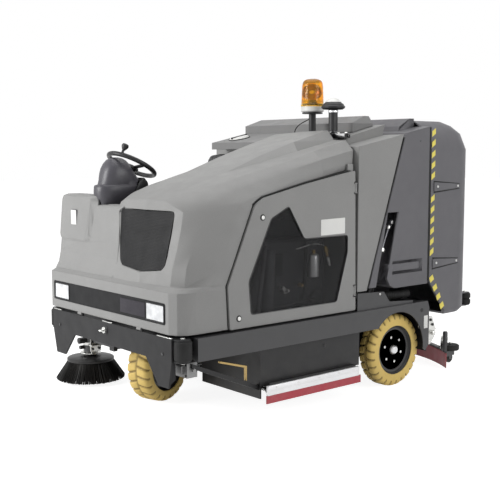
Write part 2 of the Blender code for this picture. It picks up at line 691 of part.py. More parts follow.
# Stations down the nose and back along the top. Each row is the foot's y, then (x, y, z)
# of the top's crown, the fin's upper and lower edge, the nose edge, the middle and the
# outer crease of the side channel, and (y, z) of the rim round the engine door.
HOOD_STATIONS = [
    (0.330, (0.20, 0.040, 0.757), (0.32, 0.048, 0.757), (0.34, 0.049, 0.757), (0.490, 0.071, 0.758), (0.560, 0.110, 0.752),
     (0.620, 0.205, 0.735), (0.310, 0.735)),
    (0.345, (0.20, 0.073, 0.850), (0.32, 0.078, 0.850), (0.34, 0.079, 0.850), (0.490, 0.085, 0.845), (0.562, 0.120, 0.850),
     (0.629, 0.283, 0.845), (0.345, 0.840)),
    (0.385, (0.20, 0.090, 0.950), (0.32, 0.100, 0.950), (0.34, 0.101, 0.950), (0.490, 0.117, 0.944), (0.563, 0.158, 0.945),
     (0.629, 0.320, 0.950), (0.378, 0.950)),
    (0.420, (0.20, 0.106, 1.050), (0.32, 0.121, 1.050), (0.34, 0.122, 1.050), (0.490, 0.143, 1.048), (0.564, 0.208, 1.050),
     (0.629, 0.356, 1.050), (0.420, 1.050)),
    (0.445, (0.20, 0.120, 1.130), (0.32, 0.136, 1.130), (0.34, 0.137, 1.130), (0.490, 0.157, 1.130), (0.564, 0.250, 1.125),
     (0.629, 0.391, 1.123), (0.456, 1.128)),
    (0.470, (0.20, 0.148, 1.185), (0.32, 0.156, 1.178), (0.34, 0.157, 1.178), (0.490, 0.183, 1.172), (0.565, 0.283, 1.160),
     (0.628, 0.420, 1.160), (0.488, 1.156)),
    (0.500, (0.20, 0.210, 1.225), (0.32, 0.210, 1.212), (0.34, 0.210, 1.211), (0.490, 0.224, 1.204), (0.566, 0.325, 1.186),
     (0.628, 0.455, 1.183), (0.520, 1.165)),
    (0.550, (0.20, 0.320, 1.264), (0.32, 0.320, 1.252), (0.34, 0.320, 1.250), (0.490, 0.335, 1.249), (0.572, 0.420, 1.230),
     (0.628, 0.520, 1.200), (0.560, 1.176)),
    (0.640, (0.20, 0.574, 1.332), (0.33, 0.574, 1.325), (0.335, 0.574, 1.324), (0.508, 0.574, 1.319), (0.582, 0.590, 1.277),
     (0.627, 0.620, 1.228), (0.640, 1.203)),
    (0.810, (0.20, 0.810, 1.416), (0.347, 0.810, 1.418), (0.365, 0.810, 1.381), (0.525, 0.810, 1.373), (0.594, 0.810, 1.336),
     (0.622, 0.820, 1.284), (0.820, 1.250)),
    (1.020, (0.20, 1.020, 1.483), (0.380, 1.020, 1.490), (0.412, 1.020, 1.438), (0.541, 1.020, 1.436), (0.605, 1.020, 1.390),
     (0.618, 1.020, 1.331), (1.020, 1.297)),
    (1.262, (0.20, 1.262, 1.555), (0.412, 1.262, 1.560), (0.465, 1.262, 1.503), (0.557, 1.262, 1.500), (0.617, 1.262, 1.443),
     (0.613, 1.262, 1.378), (1.262, 1.337)),
]
RIM_X = 0.605          # the rim's edge at the hood's rear; it runs out to the side further forward
FRONT_PROFILE = [(0.040, 0.757), (0.060, 0.790), (0.073, 0.850), (0.084, 0.950), (0.098, 1.050), (0.107, 1.115),
                 (0.120, 1.136), (0.150, 1.142)]


def hood_ring(row, wall=0.0):
    """One closed section of the engine cover; wall moves it inwards for the hollow."""
    foot, crown, fin_top, fin_low, nose, middle, outer, rim_edge = row
    low = HOOD_LOW - (0.06 if wall else 0.0)
    right = HOOD_INNER + wall
    left = HOOD_LEFT - wall
    edge_x = min(left, along([(0.0, HOOD_LEFT), (0.60, HOOD_LEFT), (HOOD_REAR, RIM_X)], rim_edge[0]) - wall)
    ring = [(right, foot, low)]
    top = [(right, crown[1], crown[2] - 0.046), (right + 0.012, crown[1], crown[2] - 0.024), (right + 0.045, crown[1], crown[2] - 0.012),
           crown, fin_top, fin_low, nose, middle, outer, (edge_x, *rim_edge), (left, rim_edge[0], rim_edge[1] - 0.020)]
    for x, y, z in top:
        way = Vector((y - foot, z - low))
        scale = (way.length - wall) / way.length
        ring.append((min(x, left) if x > left else x - (wall if x > 0.45 and wall else 0.0), foot + way.x * scale, low + way.y * scale))
    ring.append((left, foot, low))
    return ring


def hood(parent):
    """The one-piece front moulding: engine cover, front wall and lamp band, as an open shell."""
    body = loft("hood", [hood_ring(row) for row in HOOD_STATIONS], LIGHT_GREY, parent)
    wall = prism("front_wall", FRONT_PROFILE + [(0.190, 1.142), (0.190, 0.757)], "x", HOOD_RIGHT + 0.028, HOOD_INNER + 0.080,
                 parent=parent, tool=True)
    join(body, wall)
    front = rounded([(HOOD_RIGHT + 0.0285, 0.930), (HOOD_RIGHT + 0.034, 1.184), (-0.300, 1.184), (-0.308, 0.930)],
                    [0.03, 0.03, 0.03, 0.045], 3)
    back = rounded([(HOOD_RIGHT + 0.0275, 0.905), (HOOD_RIGHT + 0.0275, 1.190), (-0.262, 1.190), (-0.285, 0.905)],
                   [0.03, 0.02, 0.02, 0.05], 3)
    knee = loft("knee_guard", [[(x, 0.070 + 0.080 * (z - 0.93), z) for x, z in front],
                               [(x, 0.100 + 0.080 * (z - 0.93), z) for x, z in back],
                               [(x, 0.200, z) for x, z in back]], parent=parent, tool=True)
    join(body, knee)
    band = [(HOOD_RIGHT, BAND_FRONT + 0.03), (HOOD_RIGHT + 0.03, BAND_FRONT), (0.560, BAND_FRONT), (0.606, BAND_FRONT + 0.02),
            (0.632, BAND_FRONT + 0.06), (HOOD_LEFT, 0.120), (HOOD_LEFT, 0.370), (HOOD_RIGHT, 0.205)]
    join(body, prism("band", band, "z", HOOD_LOW, BAND_TOP, parent=parent, tool=True))
    upper = [(x, y + 0.012 if y < 0.15 else y) for x, y in band]
    join(body, loft("band_top", [[(x, y, BAND_TOP - 0.004) for x, y in band],
                                 [(x * 0.995, y + 0.022 if y < 0.15 else y - 0.004, BAND_TOP + 0.018) for x, y in upper]],
                    parent=parent, tool=True))
    inner = [hood_ring(row, HOOD_WALL) for row in HOOD_STATIONS]
    inner.insert(0, [(x, y, z - 0.045) for x, y, z in inner[0]])
    inner.append([(x, HOOD_REAR + 0.05, z) for x, _, z in inner[-1]])
    cut(body, loft("hood_inside", inner, parent=parent, tool=True))
    hollow = [(HOOD_RIGHT + 0.0145, 0.045), (HOOD_RIGHT + 0.036, BAND_FRONT + 0.0135), (0.556, BAND_FRONT + 0.0135),
              (0.597, 0.043), (0.6185, 0.077), (0.6255, 0.125), (0.6255, 0.395), (HOOD_INNER + 0.0195, 0.395),
              (HOOD_INNER + 0.0195, 0.300), (HOOD_RIGHT + 0.0145, 0.300)]
    cut(body, prism("band_inside", hollow, "z", HOOD_LOW - 0.06, BAND_TOP - 0.0105, parent=parent, tool=True))
    cut(body, box("knee_inside", (HOOD_RIGHT + 0.045, 0.125, HOOD_LOW - 0.05), (HOOD_INNER - 0.02, 0.3, 1.125),
                  parent=parent, tool=True))
    cut(body, box("knee_top_inside", (HOOD_RIGHT + 0.051, 0.127, 1.100), (-0.305, 0.31, 1.174),
                  parent=parent, tool=True))
    cut(body, box("column_way", (COLUMN_X - 0.082, 0.138, 1.100), (COLUMN_X + 0.082, 0.35, 1.25), parent=parent, tool=True))
    door = rounded(grow(DOOR_OUTLINE[:5] + [(1.290, 1.3365), (1.290, 0.527)], DOOR_GAP), 0.02)
    cut(body, prism("door_opening", door, "x", 0.45, 0.75, parent=parent, tool=True))
    recess = rounded(grow(GRILLE_OUTLINE, 0.012), 0.02, 2)
    cut(body, draped("grille_recess", recess, lambda x, z: -0.05, lambda x, z: face_y(x, z) + 0.008, parent=parent, tool=True))
    opening = grow(GRILLE_OUTLINE, -0.02)
    cut(body, draped("grille_opening", opening, lambda x, z: -0.04, lambda x, z: 0.200, parent=parent, tool=True))
    lamp = [(-0.600, 0.574), (0.535, 0.574), (0.535, 0.684), (-0.600, 0.684)]
    for x in HOOD_HINGES:
        join(body, rod("hood_knuckle", (x - 0.0195, HOOD_HINGE_Y, HOOD_HINGE_Z), (x + 0.0195, HOOD_HINGE_Y, HOOD_HINGE_Z), 0.009,
                       parent=parent, tool=True, sides=16))
        cut(body, rod("hood_knuckle_bore", (x - 0.035, HOOD_HINGE_Y, HOOD_HINGE_Z), (x + 0.035, HOOD_HINGE_Y, HOOD_HINGE_Z),
                      0.004 + PIN_PLAY, parent=parent, tool=True, sides=12))
    post = box("hinge_post", (0.600, 1.205, 0.536), (0.6295, 1.250, 1.366), parent=parent, tool=True)
    join(body, post)
    for z in DOOR_HINGES:
        for low, high in ((-0.0295, -0.0235), (0.0235, 0.0295)):
            join(body, box("door_bracket", (0.620, 1.2440, z + low), (0.6520, 1.2640, z + high), parent=parent, tool=True))
        join(body, rod("door_pin", (DOOR_AXIS_X, DOOR_AXIS_Y, z - 0.0265), (DOOR_AXIS_X, DOOR_AXIS_Y, z + 0.0265), 0.004,
                       parent=parent, tool=True, sides=12))
    cut(body, prism("lamp_recess", rounded(lamp, 0.012), "y", -0.05, BAND_FRONT + 0.012, parent=parent, tool=True))
    return body


def face_y(x, z):
    """The nose's front face, which leans back further towards the machine's left."""
    middle = along([(0.757, 0.040), (0.850, 0.073), (0.950, 0.090), (1.050, 0.106), (1.130, 0.120), (1.185, 0.148)], z)
    side = along([(0.758, 0.071), (0.845, 0.085), (0.944, 0.117), (1.048, 0.143), (1.130, 0.157), (1.172, 0.183)], z)
    return middle + (side - middle) * max(0.0, (x - 0.20) / 0.29)


def draped(name, outline, near, far, mat=None, parent=None, tool=False):
    """An outline in x and z thickened along y between two surfaces."""
    bm = bmesh.new()
    face = bm.faces.new([bm.verts.new((x, 0, z)) for x, z in outline])
    bmesh.ops.triangulate(bm, faces=[face], ngon_method="EAR_CLIP")
    made = bmesh.ops.extrude_face_region(bm, geom=list(bm.faces))
    moved = [v for v in made["geom"] if isinstance(v, bmesh.types.BMVert)]
    for v in bm.verts:
        v.co.y = near(v.co.x, v.co.z)
    for v in moved:
        v.co.y = far(v.co.x, v.co.z)
    return add(name, finish_mesh(bm, name), mat, parent, tool)


def grow(outline, by):
    """An outline moved outwards by a distance."""
    count = len(outline)
    area = sum(outline[i - 1][0] * outline[i][1] - outline[i][0] * outline[i - 1][1] for i in range(count))
    sign = 1 if area > 0 else -1
    out = []
    for i in range(count):
        a, b, c = (Vector(outline[j % count]) for j in (i - 1, i, i + 1))
        n1 = Vector(((b - a).y, -(b - a).x)).normalized() * sign
        n2 = Vector(((c - b).y, -(c - b).x)).normalized() * sign
        n = (n1 + n2).normalized()
        out.append(tuple(b + n * (by / max(0.3, n.dot(n1)))))
    return out


def front_fittings(parent):
    recess = rounded(grow(GRILLE_OUTLINE, 0.012), 0.02, 2)
    grille = draped("front_grille", recess, lambda x, z: face_y(x, z) + 0.001, lambda x, z: face_y(x, z) + 0.008 - SEAT, BLACK,
                    parent)
    edge = rounded(grow(GRILLE_OUTLINE, 0.008), 0.018, 2)
    combine(grille, prism("grille_edge", edge, "y", -0.1, 0.4, parent=parent, tool=True), "INTERSECT")
    lamp = grow(rounded([(-0.600, 0.574), (0.535, 0.574), (0.535, 0.684), (-0.600, 0.684)], 0.012), -SEAT - 0.0004)
    bar = prism("lamp_bar", lamp, "y", BAND_FRONT + 0.003, BAND_FRONT + 0.012 - SEAT, BLACK, parent)
    for label, low_x in (("left", 0.362), ("right", -0.585)):
        high_x = low_x + 0.152
        seat = box("lamp_seat", (low_x - SEAT, -0.05, 0.586 - SEAT), (high_x + SEAT, BAND_FRONT + 0.008, 0.668 + SEAT),
                   parent=parent, tool=True)
        cut(bar, seat)
        box("headlight_" + label, (low_x, BAND_FRONT + 0.001, 0.586), (high_x, BAND_FRONT + 0.008 - SEAT, 0.668), WHITE, parent,
            bevel=0.003)


def engine_door(parent):
    """The side door of the engine bay with its cut window and latches."""
    outline = rounded(DOOR_OUTLINE, [0.01, 0.05, 0.08, 0.08, 0.1, 0.01, 0.01])
    door = prism("engine_door", outline, "x", DOOR_OUT - DOOR_THICK, DOOR_OUT, LIGHT_GREY, parent)
    window = rounded(WINDOW_OUTLINE, 0.015)
    cut(door, prism("window_cut", window, "x", DOOR_OUT - 0.05, DOOR_OUT + 0.05, parent=parent, tool=True))
    for z in DOOR_HINGES:
        cut(door, box("hinge_notch", (0.60, 1.240, z - 0.036), (0.70, 1.300, z + 0.036), parent=parent, tool=True))
        join(door, box("knuckle_web", (0.6405, 1.230, z - 0.023), (0.6490, DOOR_AXIS_Y, z + 0.023), parent=parent, tool=True))
        join(door, rod("knuckle", (DOOR_AXIS_X, DOOR_AXIS_Y, z - 0.023), (DOOR_AXIS_X, DOOR_AXIS_Y, z + 0.023), 0.0075,
                       parent=parent, tool=True, sides=16))
        cut(door, rod("knuckle_bore", (DOOR_AXIS_X, DOOR_AXIS_Y, z - 0.030), (DOOR_AXIS_X, DOOR_AXIS_Y, z + 0.030),
                      0.004 + PIN_PLAY, parent=parent, tool=True, sides=12))
    pane = prism("window_pane", grow(window, -SEAT * 1.5), "x", DOOR_OUT - 0.010, DOOR_OUT - 0.006, SMOKED, parent)
    return door, pane


def engine():
    block = box("engine_block", (0.060, 0.420, BEAM_TOP - 0.0057), (0.540, 1.120, 0.960), CAST, bevel=0.02)
    join(block, box("head", (0.14, 0.50, 0.95), (0.46, 1.05, 1.06), tool=True))
    air = turned("air_filter", [(0, 0.235), (0.050, 0.235), (0.056, 0.228), (0.056, 0), (0, 0)],
                 (0.543, 1.05, 0.960 + SEAT), (0, 0, 1), ALUMINIUM)
    return block, air


# Driver's place

def drivers_place():
    floor = box("operator_floor", (-0.6245, 0.235, BEAM_TOP - 0.0057), (HOOD_INNER - 0.012, 0.735, BEAM_TOP + 0.010), BLACK)
    cut(floor, rod("head_clearance", (FRONT_WHEEL_X, FRONT_WHEEL_Y, 0.45), (FRONT_WHEEL_X, FRONT_WHEEL_Y, 0.62), 0.0765,
                   tool=True))
    base = box("seat_base", (-0.6500, 0.740, BEAM_TOP + 0.0003), (-0.115, 1.2755, 0.860), LIGHT_GREY, bevel=0.02)
    cut(base, box("seat_recess", (-0.60, 0.69, 0.40), (-0.16, 0.76, 0.80), tool=True))
    cushion = box("seat_cushion", (SEAT_X - 0.215, 0.760, 0.8603), (SEAT_X + 0.215, SEAT_REAR, SEAT_TOP), BLACK, bevel=0.03, segments=2)
    y = SEAT_REAR + SEAT
    line = [(y, 0.8603), (y + 0.075, 0.8603), (y + 0.080, 1.000), (y + 0.140, 1.380), (y + 0.132, 1.412), (y + 0.095, 1.416),
            (y + 0.070, 1.380), (y, 1.000)]
    back = prism("seat_back", line, "x", SEAT_X - 0.205, SEAT_X + 0.205, BLACK)
    soften(back, 0.018, 2)
    return floor, base, cushion, back


def steering():
    base = [(COLUMN_Y - 0.070, 0.5253), (COLUMN_Y + 0.060, 0.5253), (COLUMN_Y + 0.075, 1.000), (COLUMN_Y + 0.105, 1.190),
            (COLUMN_Y + 0.055, 1.285), (COLUMN_Y - 0.010, 1.372), (COLUMN_Y - 0.055, 1.375), (COLUMN_Y - 0.088, 1.290),
            (COLUMN_Y - 0.085, 1.200), (COLUMN_Y - 0.070, 1.130)]
    column = prism("steering_column", rounded(base, [0, 0, 0.05, 0.04, 0.03, 0.03, 0.04, 0.03, 0.03, 0.05], 2), "x",
                   COLUMN_X - 0.075, COLUMN_X + 0.075, DARK_GREY)
    soften(column, 0.02, 2)
    tilt = math.radians(-28)
    wheel_pivot = pivot("steering_wheel_pivot", (COLUMN_X, COLUMN_Y + 0.125, 1.360))
    normal = Vector((0, math.sin(-tilt), math.cos(tilt)))
    centre = Vector((COLUMN_X, COLUMN_Y + 0.125, 1.360))
    profile = []
    for k in range(8):
        a = 2 * math.pi * k / 8
        profile.append((0.142 - 0.011 * math.cos(a + math.pi), 0.011 * math.sin(a + math.pi)))
    wheel = turned("steering_wheel", profile, centre, normal, BLACK, wheel_pivot, steps=30)
    join(wheel, rod("hub", centre - normal * 0.060, centre - normal * 0.010, 0.032, parent=wheel_pivot, tool=True))
    join(column, rod("shaft", centre - normal * 0.200, centre - normal * (0.060 + SEAT), 0.022, tool=True, sides=16))
    across = Vector((1, 0, 0))
    join(wheel, rod("spoke", centre - normal * 0.02 - across * 0.02, centre - across * 0.142, 0.010, parent=wheel_pivot, tool=True, sides=10))
    join(wheel, rod("spoke", centre - normal * 0.02 + across * 0.02, centre + across * 0.142, 0.010, parent=wheel_pivot, tool=True, sides=10))
    return column, wheel


# Tank and covers

def lean_y(z):
    """The tank's rear face at a height."""
    return LEAN_LOW_Y + (LEAN_TOP_Y - LEAN_LOW_Y) * (z - TANK_LOW) / (LEAN_TOP_Z - TANK_LOW)


def water_tank():
    """The tank across the machine, with its leaning rear face and bevelled shoulders."""
    side_line = [(TANK_FRONT, TANK_LOW), (TANK_FRONT, 1.464), (LEAN_TOP_Y, LEAN_TOP_Z), (LEAN_LOW_Y, TANK_LOW)]
    tank = prism("water_tank", side_line, "x", -TANK_HALF, TANK_HALF, LIGHT_GREY)
    top_line = [(TANK_FRONT + 0.03, 1.45), (TANK_FRONT + 0.055, TANK_TOP_FRONT), (LEAN_TOP_Y, 1.598), (LEAN_TOP_Y - 0.03, 1.50)]
    join(tank, prism("shoulder", top_line, "x", -TANK_FLAT_HALF, TANK_FLAT_HALF, tool=True))
    for x, y, radius in ((INTAKE_X, INTAKE_Y, 0.034), (BEACON_X, BEACON_Y, 0.028)):
        join(tank, rod("pad", (x, y, 1.490), (x, y, PAD_TOP), radius, tool=True))
    join(tank, box("tank_foot", (-0.56, TANK_FRONT, BEAM_TOP + 0.0003), (0.56, 1.345, TANK_LOW + 0.01), tool=True))
    return tank


def rear_cover():
    """The stepped cover behind the seat, over the tank's top."""
    low_box = [(1.157, 1.451), (1.157, 1.494), (1.443, 1.556), (1.470, 1.562), (1.470, 1.5538), (1.3298, 1.5215),
               (1.3080, 1.4713), (1.2750, 1.4648), (1.2740, 1.4515)]
    cover = prism("rear_cover", low_box, "x", -0.549, 0.165, DARK_GREY)
    high_box = [(1.447, 1.5496), (1.447, 1.607), (1.589, 1.652), (1.630, 1.652), (1.630, 1.5917)]
    step = prism("high_box", high_box, "x", -0.5495, 0.440, tool=True)
    cut(step, prism("end_slope", [(0.395, 1.70), (0.400, 1.652), (0.435, 1.605), (0.437, 1.54), (0.50, 1.54), (0.50, 1.70)], "y", 1.40, 1.70,
                    tool=True))
    join(cover, step)
    cut(cover, box("hood_clearance", (HOOD_INNER - 0.010, 1.10, 1.40), (0.40, 1.290, 1.70), tool=True))
    return cover


# Container, flap and lift cylinders

def container(parent):
    """The debris container: a shell open to the rear, with a pocket each side for its lift cylinder."""
    front_low = lean_y(0.64) + BOX_GAP
    outline = [(front_low + 0.004, BOX_LOW + 0.02), (lean_y(1.50) + BOX_GAP, 1.50)]
    for k in range(6):
        a = math.radians(160 - 60 * k / 5)
        outline.append((TIP_Y + 0.030 * math.cos(a) , TIP_Z + 0.030 * math.sin(a)))
    outline += [(BOX_REAR, 1.590), (BOX_REAR, BOX_LOW), (1.600, BOX_LOW), (1.560, 0.640), (1.535, 0.680), (1.515, 0.700),
                (1.500, BOX_LOW + 0.02)]
    shell = prism("container", outline, "x", -BOX_HALF, BOX_HALF, DARK_GREY, parent)
    ridge = [(TIP_Y + 0.03, 1.50), (TIP_Y + 0.06, 1.590), (BOX_REAR - 0.04, BOX_RIDGE_Z), (BOX_REAR, BOX_RIDGE_Z), (BOX_REAR, 1.5)]
    join(shell, prism("ridge", ridge, "x", -0.520, 0.520, parent=parent, tool=True))
    inside = [(lean_y(0.80) + 0.11, BOX_LOW + BOX_WALL), (lean_y(1.45) + BOX_GAP + BOX_WALL + 0.02, 1.45), (TIP_Y + 0.02, 1.500),
              (BOX_REAR - 0.06, 1.565), (BOX_REAR + 0.05, 1.565), (BOX_REAR + 0.05, BOX_LOW + BOX_WALL)]
    cut(shell, prism("inside", inside, "x", -POCKET_IN + BOX_WALL, POCKET_IN - BOX_WALL, parent=parent, tool=True))
    slope = (EYE_Y - FOOT_Y) / (EYE_Z - FOOT_Z)
    rear_low = EYE_Y + (0.58 - EYE_Z) * slope + 0.105
    pocket = [(1.20, 0.58), (1.20, 1.090), (EYE_Y + 0.080, 1.090), (EYE_Y + 0.090, EYE_Z - 0.05), (rear_low, 0.58)]
    slot = [(1.632, 1.078), (1.532, 1.078), (1.423, 0.58), (1.505, 0.58)]
    for side in (-1, 1):
        lo, hi = sorted((side * POCKET_IN, side * SKIN_IN))
        cut(shell, prism("pocket", pocket, "x", lo, hi, parent=parent, tool=True))
        lo, hi = sorted((side * (POCKET_IN + 0.02), side * 0.70))
        cut(shell, prism("slot", slot, "x", lo, hi, parent=parent, tool=True))
        lo, hi = sorted((side * (POCKET_IN - 0.004), side * (LIFT_X - 0.0215)))
        join(shell, rod("eye_boss", (lo, EYE_Y, EYE_Z), (hi, EYE_Y, EYE_Z), 0.014, parent=parent, tool=True))
        lo, hi = sorted((side * 0.600, side * 0.70))
        cut(shell, box("grip_recess", (lo, 1.580, 0.705), (hi, 1.858, 0.785), parent=parent, tool=True))
        for near, far in ((-0.030, -0.020), (0.020, 0.030)):
            x = side * FLAP_HINGE_X
            join(shell, rod("hinge_ear", (x + near, FLAP_HINGE_Y, FLAP_HINGE_Z), (x + far, FLAP_HINGE_Y, FLAP_HINGE_Z), 0.0115,
                            parent=parent, tool=True, sides=16))
            join(shell, box("hinge_root", (x + near, BOX_REAR - 0.006, FLAP_HINGE_Z - 0.010),
                            (x + far, FLAP_HINGE_Y, FLAP_HINGE_Z + 0.010), parent=parent, tool=True))
        join(shell, rod("hinge_pin", (x - 0.025, FLAP_HINGE_Y, FLAP_HINGE_Z), (x + 0.025, FLAP_HINGE_Y, FLAP_HINGE_Z), 0.005,
                        parent=parent, tool=True, sides=12))
    return shell


def container_flap(parent):
    """The rear shell: bowed in plan, open to the front, its lower front corners cut away."""
    def plan(y_front, inset, z, top_fade):
        half = BOX_HALF - inset - top_fade * 0.10
        rear = FLAP_REAR - inset - top_fade * 0.05
        pts = [(half, y_front)]
        for k in range(9):
            a = math.radians(90 * k / 8)
            pts.append((half - 0.20 * (1 - math.cos(a)), rear - 0.17 + 0.17 * math.sin(a)))
        return [(x, y, z) for x, y in pts] + [(-x, y, z) for x, y in reversed(pts)]
    levels = [(FLAP_BOTTOM, 0.25), (FLAP_BOTTOM + 0.03, 0.0), (1.0, 0.0), (1.45, 0.0), (1.55, 0.35), (1.60, 0.9), (FLAP_TOP, 1.5)]
    shell = loft("container_flap", [plan(FLAP_FRONT, 0, z, f) for z, f in levels], DARK_GREY, parent)
    inner = [(FLAP_BOTTOM + FLAP_WALL, 0.25), (FLAP_BOTTOM + 0.04, 0.0), (1.0, 0.0), (1.44, 0.0), (1.54, 0.4), (FLAP_TOP - FLAP_WALL, 1.2)]
    cut(shell, loft("flap_inside", [plan(FLAP_FRONT - 0.05, FLAP_WALL, z, f) for z, f in inner], parent=parent, tool=True))
    low = [(1.80, 0.30), (1.80, 0.646), (FLAP_FRONT - 0.01, 0.646), (2.112, 0.404), (2.15, 0.30)]
    cut(shell, prism("corner_cut", low, "x", -0.8, 0.8, parent=parent, tool=True))
    for side in (-1, 1):
        x = side * FLAP_HINGE_X
        cut(shell, box("hinge_notch", (x - 0.036, 1.900, 1.590), (x + 0.036, 1.948, 1.660), parent=parent, tool=True))
        join(shell, box("knuckle_web", (x - 0.0195, FLAP_HINGE_Y, FLAP_HINGE_Z - 0.006),
                        (x + 0.0195, 1.962, FLAP_HINGE_Z + 0.0085), parent=parent, tool=True))
        join(shell, rod("knuckle", (x - 0.0195, FLAP_HINGE_Y, FLAP_HINGE_Z), (x + 0.0195, FLAP_HINGE_Y, FLAP_HINGE_Z), 0.0115,
                        parent=parent, tool=True, sides=16))
        cut(shell, rod("knuckle_bore", (x - 0.030, FLAP_HINGE_Y, FLAP_HINGE_Z), (x + 0.030, FLAP_HINGE_Y, FLAP_HINGE_Z),
                       0.005 + PIN_PLAY, parent=parent, tool=True, sides=12))
    for label, side in (("left", 1), ("right", -1)):
        x = side * REAR_ROLLER_X
        for z in (0.418, 0.500):
            join(shell, box("roller_shelf", (x - 0.022, 2.360, z), (x + 0.022, REAR_ROLLER_Y + 0.022, z + 0.006), parent=parent,
                            tool=True))
        join(shell, rod("roller_pin", (x, REAR_ROLLER_Y, 0.421), (x, REAR_ROLLER_Y, 0.503), 0.008, parent=parent, tool=True,
                        sides=16))
        spin = pivot("rear_roller_pivot_" + label, (x, REAR_ROLLER_Y, 0.462), parent)
        bore = 0.008 + PIN_PLAY
        profile = [(bore, 0.4995), (0.033, 0.4995), (0.038, 0.494), (0.038, 0.468), (0.030, 0.4645), (0.030, 0.4595),
                   (0.038, 0.456), (0.038, 0.430), (0.033, 0.4245), (bore, 0.4245)]
        turned("rear_roller_" + label, profile, (x, REAR_ROLLER_Y, 0), (0, 0, 1), BLACK, spin, steps=20)
    return shell


def lift_cylinder(label, side, parent_barrel, parent_rod):
    foot = Vector((side * LIFT_X, FOOT_Y, FOOT_Z))
    eye = Vector((side * LIFT_X, EYE_Y, EYE_Z))
    way = (eye - foot).normalized()
    half = Vector((0.0210, 0, 0))
    barrel = rod("lift_barrel_" + label, foot + way * 0.006, foot + way * 0.335, BARREL_R, BLACK, parent_barrel)
    join(barrel, rod("barrel_eye", foot - half, foot + half, 0.020, parent=parent_barrel, tool=True))
    cut(barrel, rod("rod_bore", foot + way * 0.040, foot + way * 0.50, ROD_R + PIN_PLAY, parent=parent_barrel, tool=True, sides=20))
    piece = rod("lift_rod_" + label, foot + way * 0.045, eye - way * 0.010, ROD_R, ZINC, parent_rod, sides=20)
    join(piece, rod("rod_eye", eye - half, eye + half, 0.018, parent=parent_rod, tool=True))
    return barrel, piece


# Scrub deck

def scrub_deck():
    line = [(-DECK_HALF, DECK_FRONT), (-0.310, DECK_FRONT), (-0.275, 0.645), (0.075, 0.645), (0.110, DECK_FRONT),
            (DECK_HALF, DECK_FRONT), (DECK_HALF, DECK_REAR), (-DECK_HALF, DECK_REAR)]
    housing = prism("deck_housing", line, "z", DECK_LOW, DECK_TOP, BLACK)
    cut(housing, prism("deck_inside", grow(line, -DECK_WALL), "z", 0.1, DECK_TOP - DECK_WALL, tool=True))
    for side in (-1, 1):
        join(housing, box("mount_post", (side * RAIL_X - 0.02, 0.9, DECK_TOP - 0.004),
                          (side * RAIL_X + 0.02, 0.98, RAIL_LOW - SEAT), tool=True))
        lo, hi = sorted((side * (DECK_HALF - 0.002), side * (STRIP_OUT - 0.012 - SEAT)))
        join(housing, box("strip_seat", (lo, 0.60, 0.150), (hi, 1.27, 0.205), tool=True))
    for low_x, high_x in ((-DECK_HALF + 0.001, -0.312), (0.112, DECK_HALF - 0.001)):
        join(housing, box("lower_wall", (low_x, DECK_FRONT + 0.001, 0.12), (high_x, DECK_FRONT + DECK_WALL - 0.001, DECK_LOW + 0.01),
                          tool=True))
    for label, y in (("front", 0.790), ("rear", 1.060)):
        hub = (0, y, BLADE_LOW + 0.002 + BRUSH_R)
        spin = pivot("scrub_pivot_" + label, hub)
        roll = rod("scrub_roller_" + label, (0.06 - DECK_HALF, y, hub[2]), (DECK_HALF - 0.06, y, hub[2]), BRUSH_R, DARK_GREY, spin, sides=24)
        join(roll, rod("journal", (-DECK_HALF + DECK_WALL + 0.0008, y, hub[2]), (DECK_HALF - DECK_WALL - 0.0008, y, hub[2]), 0.02,
                       parent=spin, tool=True, sides=16))
    for label, side in (("left", 1), ("right", -1)):
        lo, hi = sorted((side * (STRIP_OUT - 0.012), side * STRIP_OUT))
        box("skirt_rail_" + label, (lo, 0.578, 0.142), (hi, 1.286, 0.196), ALUMINIUM)
        lo, hi = sorted((side * (STRIP_OUT - 0.010), side * (STRIP_OUT - 0.003)))
        box("skirt_blade_" + label, (lo, 0.574, BLADE_LOW), (hi, 1.305, 0.142 - SEAT), RED)
    return housing


# Squeegee

def squeegee_y(x):
    return SQUEEGEE_APEX - SQUEEGEE_CURVE * x * x


